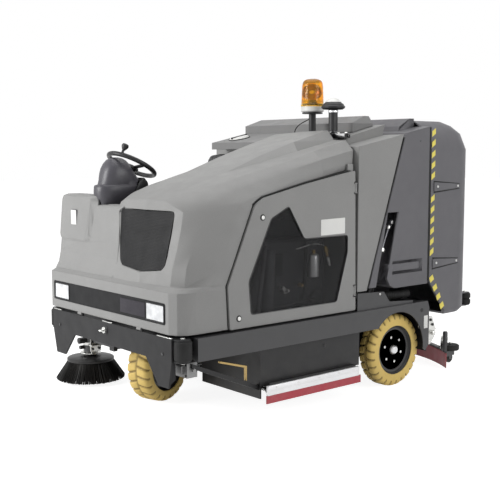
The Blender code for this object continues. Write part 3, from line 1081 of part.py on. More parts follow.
def squeegee(parent):
    arms = box("squeegee_carrier", (-0.085, SQUEEGEE_PIVOT_Y - 0.02, SQUEEGEE_PIVOT_Z - 0.02), (0.085, SQUEEGEE_PIVOT_Y + 0.05,
               SQUEEGEE_PIVOT_Z + 0.02), ANTHRACITE, parent)
    for side in (-1, 1):
        x = side * 0.06
        arm = [(SQUEEGEE_PIVOT_Y, SQUEEGEE_PIVOT_Z + 0.018), (SQUEEGEE_PIVOT_Y, SQUEEGEE_PIVOT_Z - 0.018),
               (SQUEEGEE_APEX - 0.070, 0.114), (SQUEEGEE_APEX + 0.006, 0.114), (SQUEEGEE_APEX + 0.006, 0.150)]
        join(arms, prism("arm", arm, "x", x - 0.008, x + 0.008, parent=parent, tool=True))
    join(arms, rod("pivot_pin", (-0.0895, SQUEEGEE_PIVOT_Y, SQUEEGEE_PIVOT_Z), (0.0895, SQUEEGEE_PIVOT_Y, SQUEEGEE_PIVOT_Z), 0.018,
                   parent=parent, tool=True))
    count = 18
    outer, inner = [], []
    for k in range(count + 1):
        x = -SQUEEGEE_HALF + 2 * SQUEEGEE_HALF * k / count
        outer.append((x, squeegee_y(x) + 0.012))
        inner.append((x, squeegee_y(x) - 0.020))
    join(arms, prism("bar", outer + inner[::-1], "z", 0.085, 0.120, parent=parent, tool=True))
    blade_out = [(x, squeegee_y(x) - 0.0205) for x, _ in outer]
    blade_in = [(x, squeegee_y(x) - 0.0265) for x, _ in outer]
    prism("squeegee_blade", blade_out + blade_in[::-1], "z", 0.010, 0.108, RED, parent)
    for label, side in (("left", 1), ("right", -1)):
        x = side * 0.435
        y = squeegee_y(x) + 0.075
        for edge in (-1, 1):
            fork = [(y - 0.070, 0.088), (y - 0.070, 0.118), (y + 0.012, 0.100), (y + 0.014, 0.030), (y - 0.012, 0.030), (y - 0.020, 0.080)]
            at = x + edge * 0.016
            join(arms, prism("castor_cheek", fork, "x", at - 0.002, at + 0.002, parent=parent, tool=True))
        join(arms, rod("castor_pin", (x - 0.015, y, 0.0345 + 0.006), (x + 0.015, y, 0.0345 + 0.006), 0.006, parent=parent, tool=True, sides=12))
        spin = pivot("castor_pivot_" + label, (x, y, 0.0405), parent)
        turned("castor_wheel_" + label, [(0.0065, 0.012), (CASTOR_R - 0.003, 0.012), (CASTOR_R, 0.009), (CASTOR_R, -0.009),
               (CASTOR_R - 0.003, -0.012), (0.0065, -0.012)], (x, y, 0.0405), (1, 0, 0), BLACK, spin, steps=20)
        x = side * 0.520
        y = squeegee_y(x) + 0.040
        join(arms, rod("deflector_pin", (x, y - 0.008, 0.117), (x, y - 0.008, 0.165), 0.008, parent=parent, tool=True, sides=16))
        join(arms, box("deflector_tab", (x - 0.02, y - 0.045, 0.088), (x + 0.02, y + 0.01, 0.1190), parent=parent, tool=True))
        spin = pivot("deflector_pivot_" + label, (x, y - 0.008, 0.140), parent)
        turned("deflector_roller_" + label, [(0.0085, 0.018), (0.052, 0.018), (0.058, 0.012), (0.058, -0.012), (0.052, -0.018),
               (0.0085, -0.018)], (x, y - 0.008, 0.1400), (0, 0, 1), BLACK, spin, steps=24)
    return arms


# Side brush

def side_brush(parent):
    y = SIDE_BRUSH_Y
    arm = box("brush_arm", (SIDE_BRUSH_X + 0.02, y - 0.022, ARM_PIVOT_Z - 0.014), (ARM_PIVOT_X - 0.020, y + 0.022, ARM_PIVOT_Z + 0.014),
              ANTHRACITE, parent)
    join(arm, rod("arm_pin", (ARM_PIVOT_X, y - 0.0295, ARM_PIVOT_Z), (ARM_PIVOT_X, y + 0.0295, ARM_PIVOT_Z), 0.018, parent=parent, tool=True))
    join(arm, box("arm_root", (ARM_PIVOT_X - 0.03, y - 0.022, ARM_PIVOT_Z - 0.014), (ARM_PIVOT_X, y + 0.022, ARM_PIVOT_Z + 0.014), parent=parent, tool=True))
    join(arm, rod("motor", (SIDE_BRUSH_X, y, 0.171 + PIN_PLAY), (SIDE_BRUSH_X, y, 0.300), 0.042, parent=parent, tool=True))
    spin = pivot("side_brush_pivot", (SIDE_BRUSH_X, y, 0.165), parent)
    profile = [(0, 0.171), (0.040, 0.171), (0.045, 0.162), (SIDE_DISC_R, 0.150), (SIDE_DISC_R + 0.003, 0.138),
               (SIDE_BRUSH_R, 0.012), (SIDE_BRUSH_R - 0.070, 0.010), (0.085, 0.120), (0, 0.126)]
    turned("side_brush", profile, (SIDE_BRUSH_X, y, 0), (0, 0, 1), BLACK, spin, steps=32)
    return arm


# Beacon and intake

def beacon():
    x, y = BEACON_X, BEACON_Y
    stand = rod("beacon_stand", (x, y, PAD_TOP + SEAT), (x, y, 1.668), 0.017, BLACK)
    join(stand, rod("plate", (x, y, 1.664), (x, y, 1.672), 0.062, tool=True))
    turned("beacon_base", [(0, 0.0403), (0.056, 0.0403), (0.056, 0.024), (0.050, 0.0003), (0, 0.0003)], (x, y, 1.672), (0, 0, 1), WHITE, steps=24)
    turned("beacon_lens", [(0, 0.160), (0.028, 0.157), (0.046, 0.140), (0.054, 0.110), (0.056, 0.0), (0.052, 0.0), (0.050, 0.108),
                           (0.043, 0.136), (0.027, 0.152), (0, 0.155)], (x, y, 1.7126), (0, 0, 1), AMBER, steps=24)
    return stand


def intake():
    x, y = INTAKE_X, INTAKE_Y
    turned("air_intake", [(0, 1.740), (0.030, 1.735), (0.062, 1.712), (0.068, 1.690), (0.056, 1.682), (0.027, 1.690), (0.027, PAD_TOP + SEAT),
                          (0, PAD_TOP + SEAT)], (x, y, 0), (0, 0, 1), BLACK, steps=24)


def build():
    chassis_frame()
    side_beam("side_beam_left", 1)
    side_beam("side_beam_right", -1)
    front_bumper()
    for label, side in (("left", 1), ("right", -1)):
        spin = pivot("roller_pivot_" + label, (side * ROLLER_X, ROLLER_Y, 0.455))
        roller("corner_roller_" + label, side * ROLLER_X, ROLLER_Y, BEAM_LOW + 0.0095, BEAM_TOP - 0.0095, ROLLER_R,
               ROLLER_PIN_R + PIN_PLAY, spin)
    tow_eye()
    wheels()
    hood_pivot = pivot("hood_pivot", (0, HOOD_HINGE_Y, HOOD_HINGE_Z))
    hood(hood_pivot)
    front_fittings(hood_pivot)
    door_pivot = pivot("door_pivot", (DOOR_AXIS_X, DOOR_AXIS_Y, 0.9), hood_pivot)
    engine_door(door_pivot)
    engine()
    drivers_place()
    steering()
    water_tank()
    rear_cover()
    tip = pivot("container_pivot", (0, TIP_Y, TIP_Z))
    container(tip)
    flap_pivot = pivot("flap_pivot", (0, FLAP_HINGE_Y, FLAP_HINGE_Z), tip)
    container_flap(flap_pivot)
    for label, side in (("left", 1), ("right", -1)):
        foot = pivot("barrel_pivot_" + label, (side * LIFT_X, FOOT_Y, FOOT_Z))
        slide = pivot("rod_guide_" + label, (side * LIFT_X, FOOT_Y, FOOT_Z), foot)
        lift_cylinder(label, side, foot, slide)
    scrub_deck()
    squeegee(pivot("squeegee_pivot", (0, SQUEEGEE_PIVOT_Y, SQUEEGEE_PIVOT_Z)))
    side_brush(pivot("brush_arm_pivot", (ARM_PIVOT_X, SIDE_BRUSH_Y, ARM_PIVOT_Z)))
    beacon()
    intake()
    MACHINE.location = (-(REACH_LEFT + REACH_RIGHT) / 2, -(REACH_FRONT + REACH_REAR) / 2, 0)
    bpy.context.view_layer.update()


build()
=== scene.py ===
"""Looks for the ride-on sweeper-scrubber: materials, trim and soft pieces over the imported
CAD frame, with a pale floor, soft studio light and the photograph's camera.

Metres, Z up, +X to the machine's left and -Y to its front. Places are written in the
machine's own frame (x from the centre plane, y back from the bumper's face) and moved
by MACHINE_SHIFT, as the part's source does."""

import json
import math
import random

import bmesh
import bpy
from mathutils import Matrix, Vector


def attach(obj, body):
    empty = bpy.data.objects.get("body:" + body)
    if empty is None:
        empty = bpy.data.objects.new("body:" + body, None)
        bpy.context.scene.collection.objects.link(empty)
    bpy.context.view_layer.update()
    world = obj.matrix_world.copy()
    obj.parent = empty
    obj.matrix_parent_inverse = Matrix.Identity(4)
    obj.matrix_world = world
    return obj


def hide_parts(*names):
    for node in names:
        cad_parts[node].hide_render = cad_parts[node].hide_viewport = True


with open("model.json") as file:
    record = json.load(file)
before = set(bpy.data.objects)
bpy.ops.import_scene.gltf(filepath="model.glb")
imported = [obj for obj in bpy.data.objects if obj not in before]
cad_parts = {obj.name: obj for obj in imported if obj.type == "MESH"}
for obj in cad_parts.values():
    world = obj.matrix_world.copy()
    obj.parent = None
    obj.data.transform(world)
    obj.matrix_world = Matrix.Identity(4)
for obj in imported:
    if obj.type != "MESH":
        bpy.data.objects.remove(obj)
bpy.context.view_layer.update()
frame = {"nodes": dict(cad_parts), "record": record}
NODES = frame["nodes"]

MACHINE_SHIFT = Vector((0.152, -1.221, 0.0))
SIDES = (("left", 1), ("right", -1))


def at(x, y, z):
    """A place in the machine's frame as a place in the scene."""
    return Vector((x, y, z)) + MACHINE_SHIFT


# Camera: the photograph's viewing angle

CAMERA_PLACE = at(4.1769, -2.5491, 1.4237)
CAMERA_AZIMUTH = math.radians(49.503)
CAMERA_PITCH = math.radians(6.0698)
CAMERA_LENS = 65.218


def set_camera():
    data = bpy.data.cameras.new("photo_camera")
    data.lens = CAMERA_LENS
    data.sensor_width = 36.0
    camera = bpy.data.objects.new("photo_camera", data)
    camera.location = CAMERA_PLACE
    camera.rotation_euler = (math.pi / 2 - CAMERA_PITCH, 0, CAMERA_AZIMUTH)
    bpy.context.scene.collection.objects.link(camera)
    bpy.context.scene.camera = camera


# Small helpers for node trees

FLOAT = "NodeSocketFloat"
COLOUR = "NodeSocketColor"
VECTOR = "NodeSocketVector"
WHOLE = "NodeSocketInt"
MATERIAL = "NodeSocketMaterial"


def new_group(name, inputs, outputs):
    """A shader node group with named, typed inputs and outputs."""
    tree = bpy.data.node_groups.new(name, "ShaderNodeTree")
    for label, kind, value in inputs:
        socket = tree.interface.new_socket(label, in_out="INPUT", socket_type=kind)
        socket.default_value = value
    for label, kind in outputs:
        tree.interface.new_socket(label, in_out="OUTPUT", socket_type=kind)
    return tree, tree.nodes.new("NodeGroupInput"), tree.nodes.new("NodeGroupOutput")


def noise(tree, vector, scale, detail=2.0, rough=0.5):
    made = tree.nodes.new("ShaderNodeTexNoise")
    made.inputs["Scale"].default_value = scale
    made.inputs["Detail"].default_value = detail
    made.inputs["Roughness"].default_value = rough
    tree.links.new(vector, made.inputs["Vector"])
    return made


def remap(tree, value, low, high, to_low=0.0, to_high=1.0):
    made = tree.nodes.new("ShaderNodeMapRange")
    made.inputs["From Min"].default_value = low
    made.inputs["From Max"].default_value = high
    made.inputs["To Min"].default_value = to_low
    made.inputs["To Max"].default_value = to_high
    tree.links.new(value, made.inputs["Value"])
    return made.outputs["Result"]


def mix_colour(tree, factor, first, second):
    made = tree.nodes.new("ShaderNodeMix")
    made.data_type = "RGBA"
    for socket, value in ((made.inputs[0], factor), (made.inputs[6], first), (made.inputs[7], second)):
        if isinstance(value, bpy.types.NodeSocket):
            tree.links.new(value, socket)
        else:
            socket.default_value = value
    return made.outputs[2]


def calculate(tree, how, first, second=None, clamp=False):
    made = tree.nodes.new("ShaderNodeMath")
    made.operation = how
    made.use_clamp = clamp
    for socket, value in zip(made.inputs, (first, second)):
        if isinstance(value, bpy.types.NodeSocket):
            tree.links.new(value, socket)
        elif value is not None:
            socket.default_value = value
    return made.outputs[0]


def bump(tree, height, distance, strength=1.0):
    made = tree.nodes.new("ShaderNodeBump")
    made.inputs["Strength"].default_value = strength
    made.inputs["Distance"].default_value = distance
    tree.links.new(height, made.inputs["Height"])
    return made


# Shader groups: each gives colours, masks and normals only

def surface_group():
    """Grain, cloudy variation, worn edges and floor dust for any rigid surface."""
    tree, source, target = new_group("surface_detail", [("Colour", COLOUR, (0.5, 0.5, 0.5, 1)),
        ("Worn Colour", COLOUR, (0.6, 0.6, 0.6, 1)), ("Dust Colour", COLOUR, (0.30, 0.27, 0.23, 1)),
        ("Cloud", FLOAT, 0.06), ("Grain Size", FLOAT, 0.001), ("Grain Depth", FLOAT, 0.0001),
        ("Edge Width", FLOAT, 0.003), ("Wear", FLOAT, 0.3), ("Dust", FLOAT, 0.3), ("Roughness", FLOAT, 0.5)],
        [("Colour", COLOUR), ("Roughness", FLOAT), ("Normal", VECTOR)])
    place = tree.nodes.new("ShaderNodeTexCoord").outputs["Object"]
    cloud = noise(tree, place, 2.6, 4.0, 0.6).outputs["Fac"]
    shift = calculate(tree, "MULTIPLY", remap(tree, cloud, 0.3, 0.7, -1.0, 1.0), source.outputs["Cloud"])
    lighter = tree.nodes.new("ShaderNodeHueSaturation")
    tree.links.new(source.outputs["Colour"], lighter.inputs["Color"])
    tree.links.new(calculate(tree, "ADD", shift, 1.0), lighter.inputs["Value"])
    speckle = noise(tree, place, 340.0, 2.0).outputs["Fac"]
    speckled = tree.nodes.new("ShaderNodeHueSaturation")
    tree.links.new(lighter.outputs["Color"], speckled.inputs["Color"])
    tree.links.new(remap(tree, speckle, 0.25, 0.75, 0.94, 1.06), speckled.inputs["Value"])
    shape = tree.nodes.new("ShaderNodeNewGeometry")
    rounded = tree.nodes.new("ShaderNodeBevel")
    rounded.samples = 4
    tree.links.new(source.outputs["Edge Width"], rounded.inputs["Radius"])
    turn = tree.nodes.new("ShaderNodeVectorMath")
    turn.operation = "DOT_PRODUCT"
    tree.links.new(shape.outputs["Normal"], turn.inputs[0])
    tree.links.new(rounded.outputs["Normal"], turn.inputs[1])
    edge = remap(tree, turn.outputs["Value"], 0.985, 0.90)
    scuffs = remap(tree, noise(tree, place, 55.0, 5.0, 0.7).outputs["Fac"], 0.42, 0.62)
    worn = calculate(tree, "MULTIPLY", calculate(tree, "MULTIPLY", edge, scuffs), source.outputs["Wear"])
    colour = mix_colour(tree, worn, speckled.outputs["Color"], source.outputs["Worn Colour"])
    split = tree.nodes.new("ShaderNodeSeparateXYZ")
    tree.links.new(place, split.inputs["Vector"])
    low = remap(tree, split.outputs["Z"], 0.45, 0.02)
    drift = remap(tree, noise(tree, place, 9.0, 5.0, 0.65).outputs["Fac"], 0.35, 0.75)
    dusty = calculate(tree, "MULTIPLY", calculate(tree, "MULTIPLY", low, drift), source.outputs["Dust"])
    colour = mix_colour(tree, dusty, colour, source.outputs["Dust Colour"])
    tree.links.new(colour, target.inputs["Colour"])
    smudge = remap(tree, noise(tree, place, 14.0, 3.0).outputs["Fac"], 0.3, 0.7, -0.07, 0.07)
    rough = calculate(tree, "ADD", source.outputs["Roughness"], smudge)
    rough = calculate(tree, "ADD", rough, calculate(tree, "MULTIPLY", dusty, 0.3), clamp=True)
    tree.links.new(rough, target.inputs["Roughness"])
    fine = tree.nodes.new("ShaderNodeTexNoise")
    fine.inputs["Detail"].default_value = 1.5
    tree.links.new(place, fine.inputs["Vector"])
    tree.links.new(calculate(tree, "DIVIDE", 1.0, source.outputs["Grain Size"]), fine.inputs["Scale"])
    grain = bump(tree, fine.outputs["Fac"], 0.001)
    tree.links.new(source.outputs["Grain Depth"], grain.inputs["Distance"])
    tree.links.new(rounded.outputs["Normal"], grain.inputs["Normal"])
    tree.links.new(grain.outputs["Normal"], target.inputs["Normal"])
    return tree


def perforation_group():
    """Rows of small holes on a face that looks forwards, as in a pressed grille."""
    tree, source, target = new_group("perforation", [("Pitch", FLOAT, 0.006), ("Hole Share", FLOAT, 0.55)],
        [("Hole", FLOAT)])
    place = tree.nodes.new("ShaderNodeTexCoord").outputs["Object"]
    split = tree.nodes.new("ShaderNodeSeparateXYZ")
    tree.links.new(place, split.inputs["Vector"])
    row = calculate(tree, "DIVIDE", split.outputs["Z"], source.outputs["Pitch"])
    half_step = calculate(tree, "MULTIPLY", calculate(tree, "FLOORED_MODULO", calculate(tree, "FLOOR", row),
        2.0), 0.5)
    column = calculate(tree, "ADD", calculate(tree, "DIVIDE", split.outputs["X"], source.outputs["Pitch"]),
        half_step)
    across = calculate(tree, "SUBTRACT", calculate(tree, "FRACT", column), 0.5)
    up = calculate(tree, "SUBTRACT", calculate(tree, "FRACT", row), 0.5)
    away = calculate(tree, "SQRT", calculate(tree, "ADD", calculate(tree, "MULTIPLY", across, across),
        calculate(tree, "MULTIPLY", up, up)))
    limit = calculate(tree, "MULTIPLY", source.outputs["Hole Share"], 0.5)
    inside = calculate(tree, "SUBTRACT", limit, away)
    tree.links.new(remap(tree, inside, -0.05, 0.05), target.inputs["Hole"])
    return tree


SURFACE = surface_group()
PERFORATION = perforation_group()


def place_group(tree, group, **values):
    made = tree.nodes.new("ShaderNodeGroup")
    made.node_tree = group
    for key, value in values.items():
        made.inputs[key.replace("_", " ")].default_value = value
    return made


def blank_material(name):
    made = bpy.data.materials.new(name)
    made.use_nodes = True
    return made, made.node_tree, made.node_tree.nodes["Principled BSDF"]


def rigid(name, colour, worn=None, rough=0.5, metal=0.0, cloud=0.06, grain=0.0010, depth=0.00008, edge=0.003,
        wear=0.3, dust=0.25, coat=0.0, specular=0.5):
    """A material for a rigid surface, from the shared surface group."""
    made, tree, shader = blank_material(name)
    worn = worn or tuple(min(1.0, c * 1.6 + 0.03) for c in colour)
    detail = place_group(tree, SURFACE, Colour=(*colour, 1), Worn_Colour=(*worn, 1), Cloud=cloud,
        Grain_Size=grain, Grain_Depth=depth, Edge_Width=edge, Wear=wear, Dust=dust, Roughness=rough)
    tree.links.new(detail.outputs["Colour"], shader.inputs["Base Color"])
    tree.links.new(detail.outputs["Roughness"], shader.inputs["Roughness"])
    tree.links.new(detail.outputs["Normal"], shader.inputs["Normal"])
    shader.inputs["Metallic"].default_value = metal
    shader.inputs["Specular IOR Level"].default_value = specular
    shader.inputs["Coat Weight"].default_value = coat
    shader.inputs["Coat Roughness"].default_value = 0.15
    return made


LIGHT_GREY = rigid("light_grey_moulding", (0.255, 0.254, 0.250), rough=0.58, grain=0.0016, depth=0.00012,
    edge=0.007, wear=0.10, dust=0.12, cloud=0.04, specular=0.35)
DARK_GREY = rigid("dark_grey_moulding", (0.115, 0.113, 0.122), rough=0.50, grain=0.0014, depth=0.00010,
    edge=0.006, wear=0.12, dust=0.2, cloud=0.05, specular=0.4)
COVER_GREY = rigid("mid_grey_moulding", (0.190, 0.189, 0.188), rough=0.55, grain=0.0016, depth=0.00010,
    edge=0.006, wear=0.12, dust=0.15, cloud=0.05, specular=0.35)
COLUMN_GREY = rigid("column_shell", (0.050, 0.048, 0.058), rough=0.40, grain=0.0010, depth=0.00005,
    edge=0.004, wear=0.10, dust=0.0)
ANTHRACITE = rigid("anthracite_paint", (0.040, 0.040, 0.042), rough=0.42, grain=0.0022, depth=0.00004,
    edge=0.002, wear=0.35, dust=0.06)
BUMPER_PAINT = rigid("bumper_paint", (0.026, 0.026, 0.027), rough=0.55, grain=0.0022, depth=0.00004,
    edge=0.002, wear=0.35, dust=0.05, specular=0.18)
MATT_BLACK = rigid("matt_black", (0.014, 0.014, 0.015), rough=0.60, edge=0.002, wear=0.15, dust=0.0,
    specular=0.16)
DARK_STEEL = rigid("dark_steel", (0.11, 0.11, 0.12), rough=0.34, metal=0.9, wear=0.3, depth=0.00003)
BLACK = rigid("black_plastic", (0.010, 0.010, 0.011), rough=0.42, edge=0.002, wear=0.25, dust=0.08,
    specular=0.35)
GLOSS_BLACK = rigid("gloss_black", (0.012, 0.012, 0.013), rough=0.16, depth=0.00001, edge=0.001, wear=0.1,
    dust=0.1, coat=0.6)
BRISTLE = rigid("black_bristle", (0.006, 0.006, 0.006), rough=0.55, edge=0.0004, wear=0.1, dust=0.06,
    specular=0.18)
RUBBER = rigid("black_rubber", (0.012, 0.012, 0.012), rough=0.72, grain=0.0008, edge=0.002, wear=0.25,
    dust=0.12, specular=0.3)
RED = rigid("red_rubber", (0.42, 0.035, 0.055), worn=(0.50, 0.08, 0.10), rough=0.45, wear=0.1, dust=0.25,
    depth=0.00005)
ALUMINIUM = rigid("aluminium", (0.66, 0.66, 0.67), rough=0.36, metal=1.0, wear=0.2, depth=0.00003)
ZINC = rigid("zinc_plate", (0.62, 0.62, 0.60), rough=0.30, metal=1.0, wear=0.2, depth=0.00004, cloud=0.12)
BRASS = rigid("brass", (0.38, 0.27, 0.11), rough=0.34, metal=1.0, wear=0.2, depth=0.00003)
REFLECTOR = rigid("beacon_reflector", (0.42, 0.17, 0.04), rough=0.25, metal=0.7, wear=0.1, depth=0.00003,
    dust=0.0)
CAST_GREY = rigid("cast_grey", (0.26, 0.26, 0.26), rough=0.5, metal=0.4, cloud=0.12, grain=0.002,
    depth=0.0002)
CAST = rigid("cast_metal", (0.060, 0.060, 0.064), rough=0.55, metal=0.3, cloud=0.15, grain=0.003,
    depth=0.0004, wear=0.4)
WHITE = rigid("white_plastic", (0.72, 0.72, 0.70), rough=0.35, wear=0.1, dust=0.1)
YELLOW = rigid("yellow_mark", (0.78, 0.66, 0.12), worn=(0.30, 0.28, 0.20), rough=0.45, wear=0.35, dust=0.3,
    edge=0.0006, depth=0.00003)
VINYL = rigid("seat_vinyl", (0.012, 0.012, 0.013), rough=0.48, grain=0.0022, depth=0.0005, wear=0.1,
    dust=0.0, cloud=0.10)


def tyre_material():
    """Tan rubber with painted shade in the grooves: darker where the piece's own groove attribute is set."""
    made, tree, shader = blank_material("tan_tyre")
    groove = tree.nodes.new("ShaderNodeAttribute")
    groove.attribute_name = "groove"
    detail = place_group(tree, SURFACE, Colour=(0.76, 0.55, 0.165, 1), Worn_Colour=(0.60, 0.43, 0.16, 1),
        Cloud=0.10, Grain_Size=0.0016, Grain_Depth=0.00015, Edge_Width=0.003, Wear=0.25, Dust=0.18,
        Roughness=0.68)
    # The groove mask mixes the tan towards a dark brown: painted shade standing in for the shadow inside the
    # tread cuts.
    shade = calculate(tree, "MULTIPLY", groove.outputs["Fac"], 0.80)
    tree.links.new(mix_colour(tree, shade, detail.outputs["Colour"], (0.10, 0.065, 0.025, 1)),
        shader.inputs["Base Color"])
    tree.links.new(detail.outputs["Roughness"], shader.inputs["Roughness"])
    tree.links.new(detail.outputs["Normal"], shader.inputs["Normal"])
    return made


def grille_material(name, pitch, share, colour):
    """A pressed dark sheet with rows of holes."""
    made, tree, shader = blank_material(name)
    shader.inputs["Specular IOR Level"].default_value = 0.14
    holes = place_group(tree, PERFORATION, Pitch=pitch, Hole_Share=share)
    detail = place_group(tree, SURFACE, Colour=(*colour, 1), Worn_Colour=(0.1, 0.1, 0.1, 1), Cloud=0.08,
        Grain_Depth=0.00003, Edge_Width=0.001, Wear=0.2, Dust=0.2, Roughness=0.5)
    tree.links.new(mix_colour(tree, holes.outputs["Hole"], detail.outputs["Colour"],
        (0.004, 0.004, 0.004, 1)), shader.inputs["Base Color"])
    tree.links.new(detail.outputs["Roughness"], shader.inputs["Roughness"])
    sunk = bump(tree, calculate(tree, "SUBTRACT", 1.0, holes.outputs["Hole"]), 0.0015)
    tree.links.new(detail.outputs["Normal"], sunk.inputs["Normal"])
    tree.links.new(sunk.outputs["Normal"], shader.inputs["Normal"])
    return made


def lamp_material():
    """A bright headlight lens with upright flutes."""
    made, tree, shader = blank_material("headlight_lens")
    shader.inputs["Coat Weight"].default_value = 0.8
    shader.inputs["Coat Roughness"].default_value = 0.05
    place = tree.nodes.new("ShaderNodeTexCoord").outputs["Object"]
    flutes = tree.nodes.new("ShaderNodeTexWave")
    flutes.bands_direction = "X"
    flutes.inputs["Scale"].default_value = 42.0
    tree.links.new(place, flutes.inputs["Vector"])
    spread = noise(tree, place, 22.0, 2.0).outputs["Fac"]
    tree.links.new(mix_colour(tree, remap(tree, spread, 0.35, 0.65), (0.80, 0.81, 0.82, 1),
        (0.62, 0.63, 0.65, 1)), shader.inputs["Base Color"])
    tree.links.new(remap(tree, spread, 0.3, 0.7, 0.10, 0.22), shader.inputs["Roughness"])
    tree.links.new(bump(tree, flutes.outputs["Fac"], 0.0012).outputs["Normal"], shader.inputs["Normal"])
    return made


def amber_material():
    """The beacon's clear amber dome with fine rings."""
    made, tree, shader = blank_material("amber_lens")
    shader.inputs["Roughness"].default_value = 0.06
    shader.inputs["Transmission Weight"].default_value = 0.92
    shader.inputs["IOR"].default_value = 1.30
    place = tree.nodes.new("ShaderNodeTexCoord").outputs["Object"]
    depth = noise(tree, place, 14.0, 2.0).outputs["Fac"]
    tree.links.new(mix_colour(tree, remap(tree, depth, 0.3, 0.7), (1.0, 0.66, 0.06, 1),
        (1.0, 0.58, 0.04, 1)), shader.inputs["Base Color"])
    rings = tree.nodes.new("ShaderNodeTexWave")
    rings.bands_direction = "Z"
    rings.inputs["Scale"].default_value = 60.0
    tree.links.new(place, rings.inputs["Vector"])
    tree.links.new(bump(tree, rings.outputs["Fac"], 0.0002).outputs["Normal"], shader.inputs["Normal"])
    return made


def pane_material():
    """The door's tinted pane, seen through."""
    made, tree, shader = blank_material("smoked_pane")
    shader.inputs["Specular IOR Level"].default_value = 0.25
    place = tree.nodes.new("ShaderNodeTexCoord").outputs["Object"]
    film = noise(tree, place, 5.0, 3.0).outputs["Fac"]
    tree.links.new(mix_colour(tree, remap(tree, film, 0.3, 0.7), (0.010, 0.010, 0.011, 1),
        (0.016, 0.016, 0.017, 1)), shader.inputs["Base Color"])
    tree.links.new(remap(tree, film, 0.3, 0.7, 0.05, 0.11), shader.inputs["Roughness"])
    tree.links.new(remap(tree, film, 0.3, 0.7, 0.40, 0.47), shader.inputs["Alpha"])
    tree.links.new(bump(tree, film, 0.0001).outputs["Normal"], shader.inputs["Normal"])
    return made


TYRE = tyre_material()
GRILLE = grille_material("grille_sheet", 0.0075, 0.55, (0.017, 0.017, 0.018))
VENT = grille_material("lamp_bar_vent", 0.0060, 0.50, (0.050, 0.046, 0.056))
LAMP = lamp_material()

LOOKS = {"light_grey_moulding": LIGHT_GREY, "dark_grey_moulding": DARK_GREY, "anthracite_paint": ANTHRACITE,
    "black_plastic": BLACK, "black_rubber": RUBBER, "tan_tyre": TYRE, "red_rubber": RED,
    "aluminium": ALUMINIUM, "zinc_plate": ZINC, "cast_metal": CAST, "white_plastic": WHITE,
    "seat_vinyl": VINYL, "clear_lens": LAMP, "amber_lens": amber_material(), "smoked_pane": pane_material()}


def dress_nodes():
    """Each CAD node takes the look of its material slot in the record."""
    for part in frame["record"]["subparts"]:
        node = NODES[part["node"]]
        node.data.materials.clear()
        node.data.materials.append(LOOKS[part["material_slot"]])
    own = {"front_grille": GRILLE, "lamp_bar": MATT_BLACK, "front_bumper": BUMPER_PAINT,
        "rear_cover": COVER_GREY, "beacon_stand": BLACK, "air_intake": BLACK, "scrub_roller_front": BRISTLE,
        "scrub_roller_rear": BRISTLE}
    for label, _ in SIDES:
        own.update({"lift_barrel_" + label: BLACK, "lift_rod_" + label: DARK_STEEL,
            "headlight_" + label: LAMP})
        for roller in ("corner_roller_", "rear_roller_", "castor_wheel_", "deflector_roller_"):
            own[roller + label] = RUBBER
    for name, look in own.items():
        NODES[name].data.materials[0] = look


# Making pieces

# Each look's slot in the record
SLOT_OF = {look: slot for slot, look in LOOKS.items()}
for odd_look in (RUBBER, BRISTLE, GLOSS_BLACK, VENT):
    SLOT_OF[odd_look] = "black_plastic"
SLOT_OF.update({REFLECTOR: "zinc_plate", BRASS: "zinc_plate", YELLOW: "light_grey_moulding",
    CAST_GREY: "aluminium", COLUMN_GREY: "dark_grey_moulding"})


def finish_piece(name, mesh, body, look, smooth=35.0):
    """Put a mesh from the machine's frame into the scene as a piece that rides on a body."""
    mesh.transform(Matrix.Translation(MACHINE_SHIFT))
    piece = bpy.data.objects.new(name, mesh)
    bpy.context.scene.collection.objects.link(piece)
    if not mesh.materials:
        mesh.materials.append(look)
    for face in mesh.polygons:
        face.use_smooth = True
    mesh.set_sharp_from_angle(angle=math.radians(smooth))
    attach(piece, body)
    return piece


def mesh_of(bm, name):
    bmesh.ops.remove_doubles(bm, verts=bm.verts, dist=1e-6)
    bmesh.ops.recalc_face_normals(bm, faces=bm.faces)
    mesh = bpy.data.meshes.new(name)
    bm.to_mesh(mesh)
    bm.free()
    return mesh


def turned(bm, profile, centre, axis=(0, 0, 1), steps=32):
    """A turned body: (radius, height) pairs along an axis from a centre."""
    turn = Vector((0, 0, 1)).rotation_difference(Vector(axis).normalized()).to_matrix()
    rings = []
    for radius, height in profile:
        if radius < 1e-6:
            rings.append([bm.verts.new(Vector(centre) + turn @ Vector((0, 0, height)))])
            continue
        ring = []
        for k in range(steps):
            a = 2 * math.pi * k / steps
            spot = Vector((radius * math.cos(a), radius * math.sin(a), height))
            ring.append(bm.verts.new(Vector(centre) + turn @ spot))
        rings.append(ring)
    for low, high in zip(rings, rings[1:]):
        for k in range(steps):
            m = (k + 1) % steps
            corners = [low[k % len(low)], low[m % len(low)], high[m % len(high)], high[k % len(high)]]
            corners = [v for i, v in enumerate(corners) if v not in corners[:i]]
            if len(corners) > 2:
                bm.faces.new(corners)
    for ring, (radius, _) in ((rings[0], profile[0]), (rings[-1], profile[-1])):
        if radius > 1e-6:
            bm.faces.new(ring)


def rod(radius, height):
    """A plain round bar's profile for turned."""
    return [(0, 0), (radius, 0), (radius, height), (0, height)]


